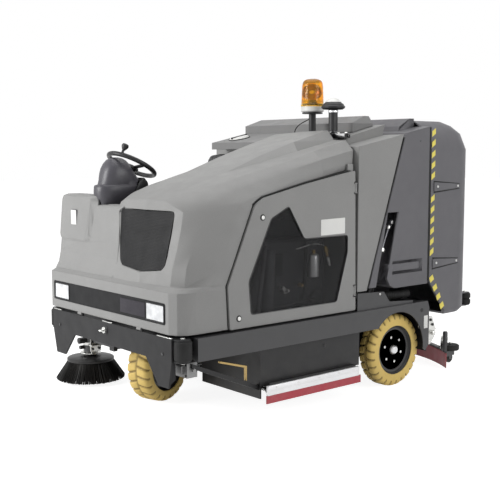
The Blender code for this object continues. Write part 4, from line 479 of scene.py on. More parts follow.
def slab(bm, outline, axis, low, high, bevel=0.0):
    """An outline thickened along an axis from one place on it to another."""
    low, high = sorted((low, high))

    def corner(a, b, c):
        return {"x": (c, a, b), "y": (a, c, b), "z": (a, b, c)}[axis]

    near = [bm.verts.new(corner(a, b, low)) for a, b in outline]
    far = [bm.verts.new(corner(a, b, high)) for a, b in outline]
    faces = [bm.faces.new(near), bm.faces.new(far)]
    count = len(outline)
    for k in range(count):
        faces.append(bm.faces.new((near[k], near[(k + 1) % count], far[(k + 1) % count], far[k])))
    if bevel:
        edges = {edge for face in faces for edge in face.edges}
        bmesh.ops.recalc_face_normals(bm, faces=faces)
        bmesh.ops.bevel(bm, geom=list(edges), offset=bevel, segments=2, profile=0.6, affect="EDGES")


def finish_form(bm, name, body, look, smooth=35.0):
    """Turn what has been built up into a piece."""
    return finish_piece(name, mesh_of(bm, name), body, look, smooth)


def turned_piece(name, body, look, profile, centre, axis=(0, 0, 1), steps=32, smooth=35.0):
    """A piece that is one turned body."""
    bm = bmesh.new()
    turned(bm, profile, centre, axis, steps)
    return finish_form(bm, name, body, look, smooth=smooth)


def slab_piece(name, body, look, outline, axis, low, high, bevel=0.0):
    """A piece that is one slab."""
    bm = bmesh.new()
    slab(bm, outline, axis, low, high, bevel)
    return finish_form(bm, name, body, look)


def oblong(low, high):
    """A rectangle's outline from two opposite corners."""
    return [(low[0], low[1]), (high[0], low[1]), (high[0], high[1]), (low[0], high[1])]


def block(bm, low, high, bevel=0.002):
    slab(bm, oblong(low, high), "z", low[2], high[2], bevel)


def rounded(outline, radius, steps=4):
    """An outline with its corners rounded."""
    out = []
    count = len(outline)
    for k in range(count):
        a, b, c = (Vector(outline[i % count]) for i in (k - 1, k, k + 1))
        r = min(radius, (a - b).length * 0.45, (c - b).length * 0.45)
        start, end = b + (a - b).normalized() * r, b + (c - b).normalized() * r
        for i in range(steps + 1):
            t = i / steps
            out.append(tuple(start * (1 - t) ** 2 + b * 2 * t * (1 - t) + end * t ** 2))
    return out


def smooth_path(points, count):
    """Evenly spread points on a smooth curve through chosen ones."""
    points = [Vector(p) for p in points]
    ends = [2 * points[0] - points[1]] + points + [2 * points[-1] - points[-2]]
    out = []
    for k in range(count + 1):
        t = (len(points) - 1) * k / count
        i = min(int(t), len(points) - 2)
        f = t - i
        a, b, c, d = ends[i:i + 4]
        bend = 2 * a - 5 * b + 4 * c - d
        twist = 3 * b - a - 3 * c + d
        out.append(0.5 * (2 * b + (c - a) * f + bend * f ** 2 + twist * f ** 3))
    return out


# Geometry node trees for what repeats or follows a path

def node_tree(name, inputs):
    tree = bpy.data.node_groups.new(name, "GeometryNodeTree")
    tree.is_modifier = True
    tree.interface.new_socket("Geometry", in_out="INPUT", socket_type="NodeSocketGeometry")
    for label, kind, value in inputs:
        socket = tree.interface.new_socket(label, in_out="INPUT", socket_type=kind)
        if value is not None:
            socket.default_value = value
    tree.interface.new_socket("Geometry", in_out="OUTPUT", socket_type="NodeSocketGeometry")
    return tree, tree.nodes.new("NodeGroupInput"), tree.nodes.new("NodeGroupOutput")


def add_node(tree, kind, links=None, **values):
    made = tree.nodes.new(kind)
    for key, value in values.items():
        setattr(made, key, value)
    for label, value in (links or {}).items():
        if isinstance(value, bpy.types.NodeSocket):
            tree.links.new(value, made.inputs[label])
        else:
            made.inputs[label].default_value = value
    return made


def close_tree(tree, geometry, source, target):
    real = add_node(tree, "GeometryNodeRealizeInstances", {"Geometry": geometry})
    coated = add_node(tree, "GeometryNodeSetMaterial", {"Geometry": real.outputs["Geometry"],
        "Material": source.outputs["Material"]})
    tree.links.new(coated.outputs["Geometry"], target.inputs["Geometry"])
    return tree


def fastener_tree():
    """A head with a chosen number of sides on every point, turned to the point's facing attribute."""
    tree, source, target = node_tree("fastener_heads", [
        ("Radius", FLOAT, 0.007), ("Height", FLOAT, 0.004), ("Sides", WHOLE, 6),
        ("Material", MATERIAL, None)])
    head = add_node(tree, "GeometryNodeMeshCylinder", {"Vertices": source.outputs["Sides"],
        "Radius": source.outputs["Radius"], "Depth": source.outputs["Height"]})
    facing = add_node(tree, "GeometryNodeInputNamedAttribute", {"Name": "facing"}, data_type="FLOAT_VECTOR")
    turn = add_node(tree, "FunctionNodeAlignRotationToVector", {"Vector": facing.outputs["Attribute"]},
        axis="Z")
    placed = add_node(tree, "GeometryNodeInstanceOnPoints", {"Points": source.outputs["Geometry"],
        "Instance": head.outputs["Mesh"], "Rotation": turn.outputs["Rotation"]})
    return close_tree(tree, placed.outputs["Instances"], source, target)


def bristle_tree():
    """A slim bristle on every point, along the facing attribute, each a little different."""
    tree, source, target = node_tree("bristle_skirt", [("Length", FLOAT, 0.15), ("Radius", FLOAT, 0.0018),
        ("Spread", FLOAT, 0.10), ("Seed", WHOLE, 7), ("Material", MATERIAL, None)])
    strand = add_node(tree, "GeometryNodeMeshCone", {"Vertices": 4, "Side Segments": 2,
        "Radius Top": source.outputs["Radius"], "Radius Bottom": source.outputs["Radius"],
        "Depth": source.outputs["Length"]})
    facing = add_node(tree, "GeometryNodeInputNamedAttribute", {"Name": "facing"}, data_type="FLOAT_VECTOR")
    shift = add_node(tree, "FunctionNodeRandomValue", data_type="FLOAT_VECTOR")
    tree.links.new(source.outputs["Seed"], shift.inputs["Seed"])
    shift.inputs["Min"].default_value = (-1, -1, -1)
    shift.inputs["Max"].default_value = (1, 1, 1)
    scaled = add_node(tree, "ShaderNodeVectorMath", operation="SCALE")
    tree.links.new(shift.outputs["Value"], scaled.inputs[0])
    tree.links.new(source.outputs["Spread"], scaled.inputs["Scale"])
    summed = add_node(tree, "ShaderNodeVectorMath", operation="ADD")
    tree.links.new(facing.outputs["Attribute"], summed.inputs[0])
    tree.links.new(scaled.outputs["Vector"], summed.inputs[1])
    turn = add_node(tree, "FunctionNodeAlignRotationToVector", {"Vector": summed.outputs["Vector"]},
        axis="Z")
    placed = add_node(tree, "GeometryNodeInstanceOnPoints", {"Points": source.outputs["Geometry"],
        "Instance": strand.outputs["Mesh"], "Rotation": turn.outputs["Rotation"]})
    return close_tree(tree, placed.outputs["Instances"], source, target)


def tube_tree():
    """A round tube along a curve."""
    tree, source, target = node_tree("path_tube", [("Radius", FLOAT, 0.005), ("Sides", WHOLE, 10),
        ("Material", MATERIAL, None)])
    ring = add_node(tree, "GeometryNodeCurvePrimitiveCircle", {"Resolution": source.outputs["Sides"],
        "Radius": source.outputs["Radius"]}, mode="RADIUS")
    swept = add_node(tree, "GeometryNodeCurveToMesh", {"Curve": source.outputs["Geometry"],
        "Profile Curve": ring.outputs["Curve"], "Fill Caps": True})
    return close_tree(tree, swept.outputs["Mesh"], source, target)


def ribbed_tree():
    """A corrugated hose along a curve: its radius swells at an even pitch."""
    tree, source, target = node_tree("ribbed_hose", [("Radius", FLOAT, 0.02), ("Rib Depth", FLOAT, 0.12),
        ("Step", FLOAT, 0.0022), ("Ribs Per Step", FLOAT, 1.3), ("Material", MATERIAL, None)])
    even = add_node(tree, "GeometryNodeResampleCurve", {"Curve": source.outputs["Geometry"]}, mode="LENGTH")
    tree.links.new(source.outputs["Step"], even.inputs["Length"])
    number = add_node(tree, "GeometryNodeInputIndex")
    wave = add_node(tree, "ShaderNodeMath", operation="MULTIPLY")
    tree.links.new(number.outputs["Index"], wave.inputs[0])
    tree.links.new(source.outputs["Ribs Per Step"], wave.inputs[1])
    bend = add_node(tree, "ShaderNodeMath", operation="SINE")
    tree.links.new(wave.outputs[0], bend.inputs[0])
    deep = add_node(tree, "ShaderNodeMath", operation="MULTIPLY")
    tree.links.new(bend.outputs[0], deep.inputs[0])
    tree.links.new(source.outputs["Rib Depth"], deep.inputs[1])
    share = add_node(tree, "ShaderNodeMath", operation="ADD")
    tree.links.new(deep.outputs[0], share.inputs[0])
    share.inputs[1].default_value = 1.0
    size = add_node(tree, "ShaderNodeMath", operation="MULTIPLY")
    tree.links.new(share.outputs[0], size.inputs[0])
    tree.links.new(source.outputs["Radius"], size.inputs[1])
    ring = add_node(tree, "GeometryNodeCurvePrimitiveCircle", {"Resolution": 14, "Radius": 1.0},
        mode="RADIUS")
    swept = add_node(tree, "GeometryNodeCurveToMesh", {"Curve": even.outputs["Curve"],
        "Profile Curve": ring.outputs["Curve"], "Fill Caps": True})
    tree.links.new(size.outputs[0], swept.inputs["Scale"])
    return close_tree(tree, swept.outputs["Mesh"], source, target)


def band_tree():
    """A flat or square rubber strip along a curve."""
    tree, source, target = node_tree("path_band", [("Width", FLOAT, 0.006), ("Depth", FLOAT, 0.006),
        ("Material", MATERIAL, None)])
    section = add_node(tree, "GeometryNodeCurvePrimitiveQuadrilateral", {"Width": source.outputs["Width"],
        "Height": source.outputs["Depth"]}, mode="RECTANGLE")
    swept = add_node(tree, "GeometryNodeCurveToMesh", {"Curve": source.outputs["Geometry"],
        "Profile Curve": section.outputs["Curve"], "Fill Caps": True})
    return close_tree(tree, swept.outputs["Mesh"], source, target)


FASTENERS = fastener_tree()
BRISTLES = bristle_tree()
TUBE = tube_tree()
RIBBED = ribbed_tree()
BAND = band_tree()


def grow_tree(name, start, tree, values):
    """Run a node tree on a start object and give back the plain mesh."""
    bpy.context.scene.collection.objects.link(start)
    step = start.modifiers.new(tree.name, "NODES")
    step.node_group = tree
    for item in tree.interface.items_tree:
        if item.item_type == "SOCKET" and item.in_out == "INPUT" and item.name in values:
            step[item.identifier] = values[item.name]
    result = start.evaluated_get(bpy.context.evaluated_depsgraph_get())
    mesh = bpy.data.meshes.new_from_object(result)
    mesh.name = name
    start.modifiers.remove(step)
    bpy.data.objects.remove(start)
    return mesh


def facing_points(spots):
    """A mesh of loose points, each with a direction to face."""
    mesh = bpy.data.meshes.new("points")
    mesh.from_pydata([tuple(p) for p, _ in spots], [], [])
    facing = mesh.attributes.new("facing", "FLOAT_VECTOR", "POINT")
    for k, (_, way) in enumerate(spots):
        facing.data[k].vector = Vector(way).normalized()
    return bpy.data.objects.new("points", mesh)


def path_curve(points, closed=False):
    data = bpy.data.curves.new("path", "CURVE")
    data.dimensions = "3D"
    line = data.splines.new("POLY")
    line.points.add(len(points) - 1)
    for spot, place in zip(line.points, points):
        spot.co = (*place, 1)
    line.use_cyclic_u = closed
    return bpy.data.objects.new("path", data)


def fasteners(name, body, spots, radius, height, look=ZINC, sides=6):
    mesh = grow_tree(name, facing_points(spots), FASTENERS, {"Radius": radius, "Height": height,
        "Sides": sides, "Material": look})
    return finish_piece(name, mesh, body, look)


def tube(name, body, points, radius, look=BLACK, sides=10, closed=False):
    mesh = grow_tree(name, path_curve(points, closed), TUBE, {"Radius": radius, "Sides": sides,
        "Material": look})
    return finish_piece(name, mesh, body, look, smooth=50.0)


def band(name, body, points, width, depth, look=RUBBER, closed=True):
    mesh = grow_tree(name, path_curve(points, closed), BAND, {"Width": width, "Depth": depth,
        "Material": look})
    return finish_piece(name, mesh, body, look)


# Wheels and rollers

STEER = math.radians(17.0)
FRONT_HUB = (-0.100, 0.403, 0.205)
FRONT_TYRE_RADIUS = 0.205
FRONT_TYRE_WIDTH = 0.150
REAR_HUB_X = 0.544
REAR_HUB_Y = 1.683
REAR_TYRE_RADIUS = 0.224
REAR_TYRE_WIDTH = 0.112
ARCH_RADIUS = 0.262
ARCH_WALL = 0.006
ARCH_INNER_X = 0.470
ARCH_OUTER_X = 0.628
ARCH_STRIP_STEPS = 14
CORNER_ROLLER = (0.622, 0.052)
REAR_ROLLER = (0.550, 2.437)
PIN_NUT_SIDES = 6


def tyre_piece(name, node, body, hub, radius, wide, axis, lugs, skew, lip_share):
    """A solid tyre with slanted tread grooves that open at the shoulders as notches."""
    inner = radius * 0.755
    lip = radius * lip_share
    half = wide / 2
    section = [(inner, half - 0.020), (lip, half - 0.0035), (lip + 0.004, half), (inner + 0.008, half),
        (radius - 0.036, half), (radius - 0.022, half - 0.001), (radius - 0.010, half - 0.007),
        (radius - 0.003, half - 0.016), (radius, half - 0.028), (radius, half - 0.045), (radius, 0.018),
        (radius, 0.010), (radius, 0.002)]
    section = section + [(r, -h) for r, h in reversed(section)]
    axis = Vector(axis).normalized()
    turn = Vector((0, 0, 1)).rotation_difference(axis).to_matrix()
    around = lugs * 10
    bm = bmesh.new()
    # A per-point groove mask, which the tyre material turns into painted shade in the cuts.
    layer = bm.verts.layers.float.new("groove")
    rings = []
    for k in range(around):
        ring = []
        for r, h in section:
            side = 1 if h > 0 else -1
            phase = (k - skew * abs(h) / half * 10 + (5 if side < 0 else 0)) % 10
            near = min(phase, 10 - phase)
            cut = max(0.0, min(1.0, 1.6 - near)) if r > radius - 0.030 else 0.0
            centre_cut = 1.0 if abs(h) < 0.006 and r > radius - 0.002 else 0.0
            depth = max(cut * (0.009 if abs(h) > half - 0.03 else 0.006), centre_cut * 0.004)
            angle = 2 * math.pi * k / around
            inwards = 0.004 * side if cut and half - 0.009 < abs(h) else 0.0
            spot = bm.verts.new(Vector(hub) + turn @ Vector(((r - depth) * math.cos(angle),
                (r - depth) * math.sin(angle), h - inwards * cut)))
            spot[layer] = max(cut, centre_cut * 0.7)
            ring.append(spot)
        rings.append(ring)
    for k in range(around):
        low, high = rings[k], rings[(k + 1) % around]
        for i in range(len(section)):
            m = (i + 1) % len(section)
            bm.faces.new((low[i], high[i], high[m], low[m]))
    piece = finish_form(bm, name, body, TYRE, smooth=40.0)
    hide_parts(node)
    return piece


def wheel_trim(name, body, hub, axis, radius, side, face, nut_ring):
    """Nuts, a hub cap and an inner lip for a rim."""
    axis = Vector(axis).normalized()
    up = Vector((0, 0, 1))
    along_wheel = axis.cross(up).normalized()
    hub = Vector(hub)
    spots = []
    for k in range(6):
        a = 2 * math.pi * (k + 0.3) / 6
        out = up * math.sin(a) + along_wheel * math.cos(a)
        spots.append((hub + axis * (side * (face + 0.0045)) + out * nut_ring, axis * side))
    fasteners(name + "_nuts", body, spots, 0.0085, 0.010)
    bm = bmesh.new()
    turned(bm, [(0, 0.030), (0.018, 0.029), (0.026, 0.022), (0.029, 0.004), (0.036, 0.001), (0.036, -0.002),
        (0, -0.002)], hub + axis * (side * (face - 0.001)), axis * side, 24)
    turned(bm, [(radius - 0.029, 0.0), (radius - 0.029, 0.0045), (radius - 0.034, 0.0060),
        (radius - 0.042, 0.0055), (radius - 0.046, 0.0)], hub + axis * (side * (face + 0.009)), axis * side,
        48)
    finish_form(bm, name + "_ring", body, ANTHRACITE)
    turned_piece(name + "_cap", body, ALUMINIUM, [(0, 0.0315), (0.020, 0.0305), (0.027, 0.023),
        (0.0315, 0.004), (0.0315, 0.0), (0, 0.0)], hub + axis * (side * face), axis * side, 28)


def add_wheels():
    front_axis = (math.cos(STEER), math.sin(STEER), 0)
    tyre_piece("front_tyre_tread", "front_tyre", "front_wheel", FRONT_HUB, FRONT_TYRE_RADIUS,
        FRONT_TYRE_WIDTH, front_axis, lugs=22, skew=0.35, lip_share=0.70)
    wheel_trim("front_wheel_hub", "front_wheel", FRONT_HUB, front_axis, 0.1548, 1, face=0.025,
        nut_ring=0.062)
    for label, side in SIDES:
        hub = (side * REAR_HUB_X, REAR_HUB_Y, REAR_TYRE_RADIUS)
        tyre_piece("rear_tyre_tread_" + label, "rear_tyre_" + label, "rear_wheel_" + label, hub,
            REAR_TYRE_RADIUS, REAR_TYRE_WIDTH, (side, 0, 0), lugs=26, skew=0.25, lip_share=0.67)
        wheel_trim("rear_wheel_hub_" + label, "rear_wheel_" + label, hub, (1, 0, 0), 0.1691, side,
            face=0.023, nut_ring=0.078)


def add_roller_caps():
    for label, side in SIDES:
        bm = bmesh.new()
        for z in (0.3935, 0.5152):
            turned(bm, [(0, 0.0), (0.013, 0.0), (0.013, 0.0035), (0.010, 0.0055), (0, 0.0055)],
                (side * CORNER_ROLLER[0], CORNER_ROLLER[1], z), (0, 0, 1 if z > 0.5 else -1), PIN_NUT_SIDES)
        finish_form(bm, "corner_pin_nuts_" + label, "machine", ZINC)
        bm = bmesh.new()
        for z, way in ((0.5062, 1), (0.4178, -1)):
            turned(bm, [(0, 0.0), (0.012, 0.0), (0.012, 0.004), (0.009, 0.007), (0, 0.007)],
                (side * REAR_ROLLER[0], REAR_ROLLER[1], z), (0, 0, way), PIN_NUT_SIDES)
        finish_form(bm, "rear_pin_nuts_" + label, "rear_flap", ZINC)
        y = squeegee_y(DEFLECTOR_X) + 0.032
        turned_piece("deflector_nut_" + label, "squeegee", ZINC, [(0, 0), (0.0115, 0), (0.0115, 0.004),
            (0.009, 0.007), (0, 0.007)], (side * DEFLECTOR_X, y, 0.1655), (0, 0, 1), PIN_NUT_SIDES)


def add_wheel_arches():
    """The black mudguard and inner plate round each rear wheel."""
    for label, side in SIDES:
        bm = bmesh.new()
        angles = [math.radians(-8 + 7 * k) for k in range(29)]
        outer, inner = ([(REAR_HUB_Y + r * math.cos(a), REAR_TYRE_RADIUS + r * math.sin(a)) for a in angles]
            for r in (ARCH_RADIUS, ARCH_RADIUS - ARCH_WALL))
        for i in range(ARCH_STRIP_STEPS):
            slab(bm, [inner[i], outer[i], outer[i + 1], inner[i + 1]], "x", side * ARCH_INNER_X,
                side * ARCH_OUTER_X)
        slab(bm, outer, "x", side * (ARCH_INNER_X - ARCH_WALL), side * ARCH_INNER_X)
        bmesh.ops.remove_doubles(bm, verts=bm.verts, dist=0.00001)
        finish_form(bm, "wheel_arch_" + label, "machine", BLACK)


def skin(node, body, look, smooth):
    """A smoothly shaded skin over one moulding, from its own mesh."""
    mesh = NODES[node].data.copy()
    mesh.transform(Matrix.Translation(-MACHINE_SHIFT))
    bm = bmesh.new()
    bm.from_mesh(mesh)
    bmesh.ops.remove_doubles(bm, verts=bm.verts, dist=0.0001)
    bm.to_mesh(mesh)
    bm.free()
    mesh.materials.clear()
    piece = finish_piece(node + "_skin", mesh, body, look, smooth=smooth)
    step = piece.modifiers.new("weighted", "WEIGHTED_NORMAL")
    step.keep_sharp = True
    step.weight = 80
    apply_modifiers(piece)
    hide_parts(node)


def add_skins():
    skin("hood", "hood_assembly", LIGHT_GREY, 18.0)
    skin("container_flap", "rear_flap", DARK_GREY, 42.0)
    skin("container", "debris_container", DARK_GREY, 30.0)


# Side brush

BRUSH_X = -0.750
BRUSH_Y = 0.335
BRISTLE_ROWS = ((0.118, 0.178), (0.130, 0.200), (0.140, 0.2185))
BRISTLE_ROOT_HEIGHT = 0.134


def add_side_brush():
    centre = Vector((BRUSH_X, BRUSH_Y, 0))
    disc = turned_piece("brush_disc", "side_brush_head", BLACK, [(0, 0.1705), (0.040, 0.1705),
        (0.046, 0.162), (0.100, 0.158), (0.142, 0.150), (0.146, 0.146), (0.146, 0.134), (0.110, 0.128),
        (0, 0.128)], centre, (0, 0, 1), 48)
    rng = random.Random(11)
    spots = []
    for row, (root, foot) in enumerate(BRISTLE_ROWS):
        count = 150 + 40 * row
        for k in range(count):
            a = 2 * math.pi * (k + 0.3 * row) / count + rng.uniform(-0.01, 0.01)
            way = Vector((math.cos(a), math.sin(a), 0))
            start = centre + way * root + Vector((0, 0, BRISTLE_ROOT_HEIGHT))
            reach = foot + rng.uniform(-0.006, 0.0035)
            end = centre + way * reach + Vector((0, 0, 0.008 + rng.uniform(0, 0.004)))
            spots.append((start, end - start))
    mesh = grow_tree("brush_bristles", facing_points(spots), BRISTLES, {"Length": 0.132, "Radius": 0.0026,
        "Spread": 0.035, "Seed": 5, "Material": BRISTLE})
    skirt = finish_piece("brush_bristles", mesh, "side_brush_head", BRISTLE)
    core = turned_piece("brush_core", "side_brush_head", BRISTLE, [(0.080, 0.133), (0.122, 0.133),
        (0.168, 0.030), (0.120, 0.030)], centre, (0, 0, 1), 48)
    for piece in (disc, skirt, core):
        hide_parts("side_brush")
    bm = bmesh.new()
    turned(bm, [(0.0425, 0.1765), (0.0640, 0.1765), (0.0640, 0.1815), (0.0500, 0.1870), (0.0425, 0.1870)],
        centre, (0, 0, 1), 40)
    turned(bm, [(0.0405, 0.2300), (0.0470, 0.2300), (0.0470, 0.2480), (0.0405, 0.2480)], centre, (0, 0, 1),
        32)
    for x in (-0.052, 0.044):
        block(bm, (BRUSH_X + x, 0.312, 0.1850), (BRUSH_X + 0.008 + x, 0.358, 0.2980), 0.002)
    block(bm, (-0.712, 0.292, 0.232), (-0.662, 0.378, 0.240), 0.002)
    block(bm, (-0.690, 0.296, 0.195), (-0.684, 0.374, 0.275), 0.002)
    finish_form(bm, "brush_motor_bracket", "side_brush_arm", ZINC)
    spots = [(centre + Vector((0.052 * math.cos(a), 0.052 * math.sin(a), 0.1805)), (0, 0, 1))
        for a in (0.4, 1.45, 2.5, 3.54, 4.6, 5.64)]
    spots += [((-0.784, y, z), (-1, 0, 0)) for y in (0.315, 0.355) for z in (0.205, 0.265)]
    fasteners("brush_motor_screws", "side_brush_arm", spots, 0.0065, 0.005)
    spots = [((-0.6825, y, z), (1, 0, 0)) for y in (0.312, 0.358) for z in (0.212, 0.258)]
    fasteners("brush_bracket_nuts", "side_brush_arm", spots, 0.0080, 0.008, BLACK)
    bm = bmesh.new()
    turned(bm, [(0, 0), (0.019, 0), (0.019, 0.052), (0.012, 0.056), (0, 0.056)], (-0.745, 0.300, 0.262),
        (0, -1, 0), 24)
    turned(bm, rod(0.012, 0.030), (-0.762, 0.296, 0.215), (0, -1, 0), 16)
    finish_form(bm, "brush_motor_ports", "side_brush_arm", BLACK)


# Tank, container and flap

FLAP_SIDE = 0.6504
STRAP_HEIGHTS = (1.221, 0.745)
LIFT_X = 0.596
LIFT_FOOT = Vector((LIFT_X, 1.412, 0.560))
LIFT_EYE = Vector((LIFT_X, 1.612, 1.015))
TANK_EDGE_FOOT = (1.3600, 0.640)
TANK_EDGE_RUN = (0.3080, 0.880)


def add_hazard_marks():
    """Slanted yellow marks down the flap's front edge, broken at the straps."""
    for label, side in SIDES:
        bm = bmesh.new()

        def mark(y, z, lean_y, height):
            shape = [(y, z), (y + 0.034, z + 0.020), (y + 0.034 + lean_y, z + 0.020 + height),
                (y + lean_y, z + height)]
            slab(bm, shape, "x", side * (FLAP_SIDE - 0.0002), side * (FLAP_SIDE + 0.0005))

        for z in [1.262 + 0.066 * k for k in range(5)] + [0.790 + 0.066 * k for k in range(6)]:
            mark(1.931, z, 0.0, 0.034)
        for k in range(4):
            mark(1.943 + 0.036 * k, 0.622 - 0.060 * k, -0.014, 0.032)
        finish_form(bm, "hazard_marks_" + label, "rear_flap", YELLOW)


def add_flap_straps():
    for label, side in SIDES:
        bm = bmesh.new()
        for z in STRAP_HEIGHTS:
            shape = rounded([(1.955, z - 0.030), (1.955, z + 0.028), (2.205, z + 0.013), (2.205, z - 0.010)],
                0.008)
            slab(bm, shape, "x", side * (FLAP_SIDE - 0.0004), side * (FLAP_SIDE + 0.0065), 0.0015)
        finish_form(bm, "flap_straps_" + label, "rear_flap", DARK_GREY)
        spots = [((side * (FLAP_SIDE + 0.0075), y, z), (side, 0, 0)) for z in STRAP_HEIGHTS
            for y in (1.987, 2.189)]
        fasteners("strap_buttons_" + label, "rear_flap", spots, 0.0075, 0.005, WHITE, sides=16)
        # Thin black strips along each strap's top and bottom edge: painted shadow standing in for the shade
        # in the recesses beside the straps.
        bm = bmesh.new()
        for z in STRAP_HEIGHTS:
            for dz in (0.032, -0.036):
                tail = z + dz * 0.45
                slab(bm, [(1.955, z + dz - 0.004), (1.955, z + dz + 0.004), (2.215, tail + 0.002),
                    (2.215, tail - 0.002)], "x", side * (FLAP_SIDE - 0.0003), side * (FLAP_SIDE + 0.0012))
        finish_form(bm, "strap_groove_shadows_" + label, "rear_flap", RUBBER)


def add_container_trim():
    for label, side in SIDES:
        x = side * 0.6505
        slab_piece("flap_seal_" + label, "debris_container", RUBBER, [(1.9085, 0.640), (1.9085, 1.585),
            (1.9225, 1.585), (1.9225, 0.640)], "x", x - side * 0.012, x + side * 0.0004)
        slab_piece("grip_bar_" + label, "debris_container", DARK_GREY, [(1.545, 0.722), (1.545, 0.768),
            (1.830, 0.768), (1.830, 0.722)], "x", side * 0.612, side * 0.6480, 0.006)
        fasteners("tank_plate_screw_" + label, "machine", [((side * 0.6507, 1.472, 0.599), (side, 0, 0))],
            0.0075, 0.005, WHITE)
        fasteners("container_screws_" + label, "debris_container",
            [((side * 0.6505, 1.822, 1.500), (side, 0, 0))], 0.004, 0.002, BLACK)
        (y, z), (along, up) = TANK_EDGE_FOOT, TANK_EDGE_RUN
        edge = [(side * 0.6470, y + along * t, z + up * t) for t in (0, 0.25, 0.5, 0.75, 1.0)]
        band("tank_edge_" + label, "machine", edge, 0.008, 0.006, closed=False)


def add_lift_details():
    way = (LIFT_EYE - LIFT_FOOT).normalized()
    for label, side in SIDES:
        base = Vector((side * LIFT_X, LIFT_FOOT.y, LIFT_FOOT.z))
        bm = bmesh.new()
        turned(bm, [(0.0178, 0.0), (0.0215, 0.0), (0.0225, 0.003), (0.0225, 0.020), (0.0205, 0.024),
            (0.0178, 0.024)], base + way * 0.308, way, 28)
        turned(bm, [(0.0172, 0.0), (0.0200, 0.0), (0.0200, 0.010), (0.0172, 0.010)], base + way * 0.110, way,
            28)
        finish_form(bm, "cylinder_collar_" + label, "barrel_" + label, ZINC)
        bm = bmesh.new()
        top = Vector((side * LIFT_X, LIFT_EYE.y, LIFT_EYE.z))
        turned(bm, [(0, 0.0), (0.012, 0.0), (0.012, 0.003), (0.009, 0.0055), (0, 0.0055)],
            top + Vector((side * 0.021, 0, 0)), (side, 0, 0), 20)
        turned(bm, [(0.0102, 0.0), (0.0150, 0.0), (0.0165, 0.004), (0.0165, 0.018), (0.0102, 0.020)],
            top - way * 0.044, way, 20)
        finish_form(bm, "cylinder_eye_" + label, "rod_" + label, ZINC)
        route = smooth_path([(side * 0.6125, 1.4770, 0.7100), (side * 0.6200, 1.4640, 0.7020),
            (side * 0.6240, 1.4460, 0.6500), (side * 0.6220, 1.4300, 0.6050),
            (side * 0.6150, 1.4200, 0.5850)], 18)
        hose = tube("cylinder_hose_" + label, "barrel_" + label, route, 0.0045, RUBBER)


def add_suction_hose():
    """The corrugated hose between the tank's outlet and the squeegee, seen above the side beam."""
    route = smooth_path([(0.500, 1.480, 0.575), (0.560, 1.560, 0.572), (0.585, 1.680, 0.566),
        (0.570, 1.800, 0.560), (0.500, 1.870, 0.552), (0.410, 1.895, 0.545)], 30)
    start = path_curve(route)
    mesh = grow_tree("suction_hose", start, RIBBED, {"Radius": 0.024, "Rib Depth": 0.09, "Step": 0.0030,
        "Ribs Per Step": 1.5, "Material": RUBBER})
    hose = finish_piece("suction_hose", mesh, "machine", RUBBER, smooth=60.0)
    bm = bmesh.new()
    turned(bm, [(0, -0.03), (0.030, -0.03), (0.030, 0.03), (0.027, 0.035), (0, 0.035)], route[0],
        (route[1] - route[0]), 24)
    turned(bm, [(0, -0.035), (0.027, -0.035), (0.030, -0.03), (0.030, 0.03), (0, 0.03)], route[-1],
        (route[-1] - route[-2]), 24)
    finish_form(bm, "suction_cuffs", "machine", BLACK)


# Hood, door and the nose

DOOR_LINE = [(0.329, 0.527), (0.316, 0.752), (0.497, 1.161), (0.560, 1.195), (0.860, 1.260), (1.248, 1.329)]
WINDOW_LINE = [(0.470, 0.592), (0.455, 0.765), (0.610, 1.085), (0.735, 1.145), (0.850, 0.965),
    (1.190, 0.965), (1.190, 0.870), (1.105, 0.592)]
PANEL = 0.6502


def add_door_trim():
    window = rounded(WINDOW_LINE, 0.016, 3)
    band("window_rubber", "door", [(PANEL - 0.0010, y, z) for y, z in window], 0.006, 0.0045, GLOSS_BLACK)
    for name, y, z in (("door_latch_top", 0.550, 1.094), ("door_latch_low", 0.388, 0.581)):
        turned_piece(name + "_ring", "door", BLACK, [(0, -0.0005), (0.0165, -0.0005), (0.0165, 0.0020),
            (0.0150, 0.0032), (0.0125, 0.0032), (0.0120, 0.0016), (0, 0.0014)], (PANEL, y, z), (1, 0, 0), 32)
        turned_piece(name, "door", ZINC, [(0, 0.0012), (0.0112, 0.0012), (0.0112, 0.0045), (0.0095, 0.0062),
            (0, 0.0066)], (PANEL, y, z), (1, 0, 0), 32)
    slab_piece("door_plate", "door", WHITE, rounded([(0.977, 0.974), (0.977, 1.062), (1.167, 1.066),
        (1.167, 0.977)], 0.004), "x", PANEL - 0.0002, PANEL + 0.0008)
    line = rounded(DOOR_LINE, 0.05, 5)[4:]
    band("door_seal", "hood_assembly", [(0.6330, y - 0.0035, z + 0.0035) for y, z in line], 0.010, 0.010,
        closed=False)


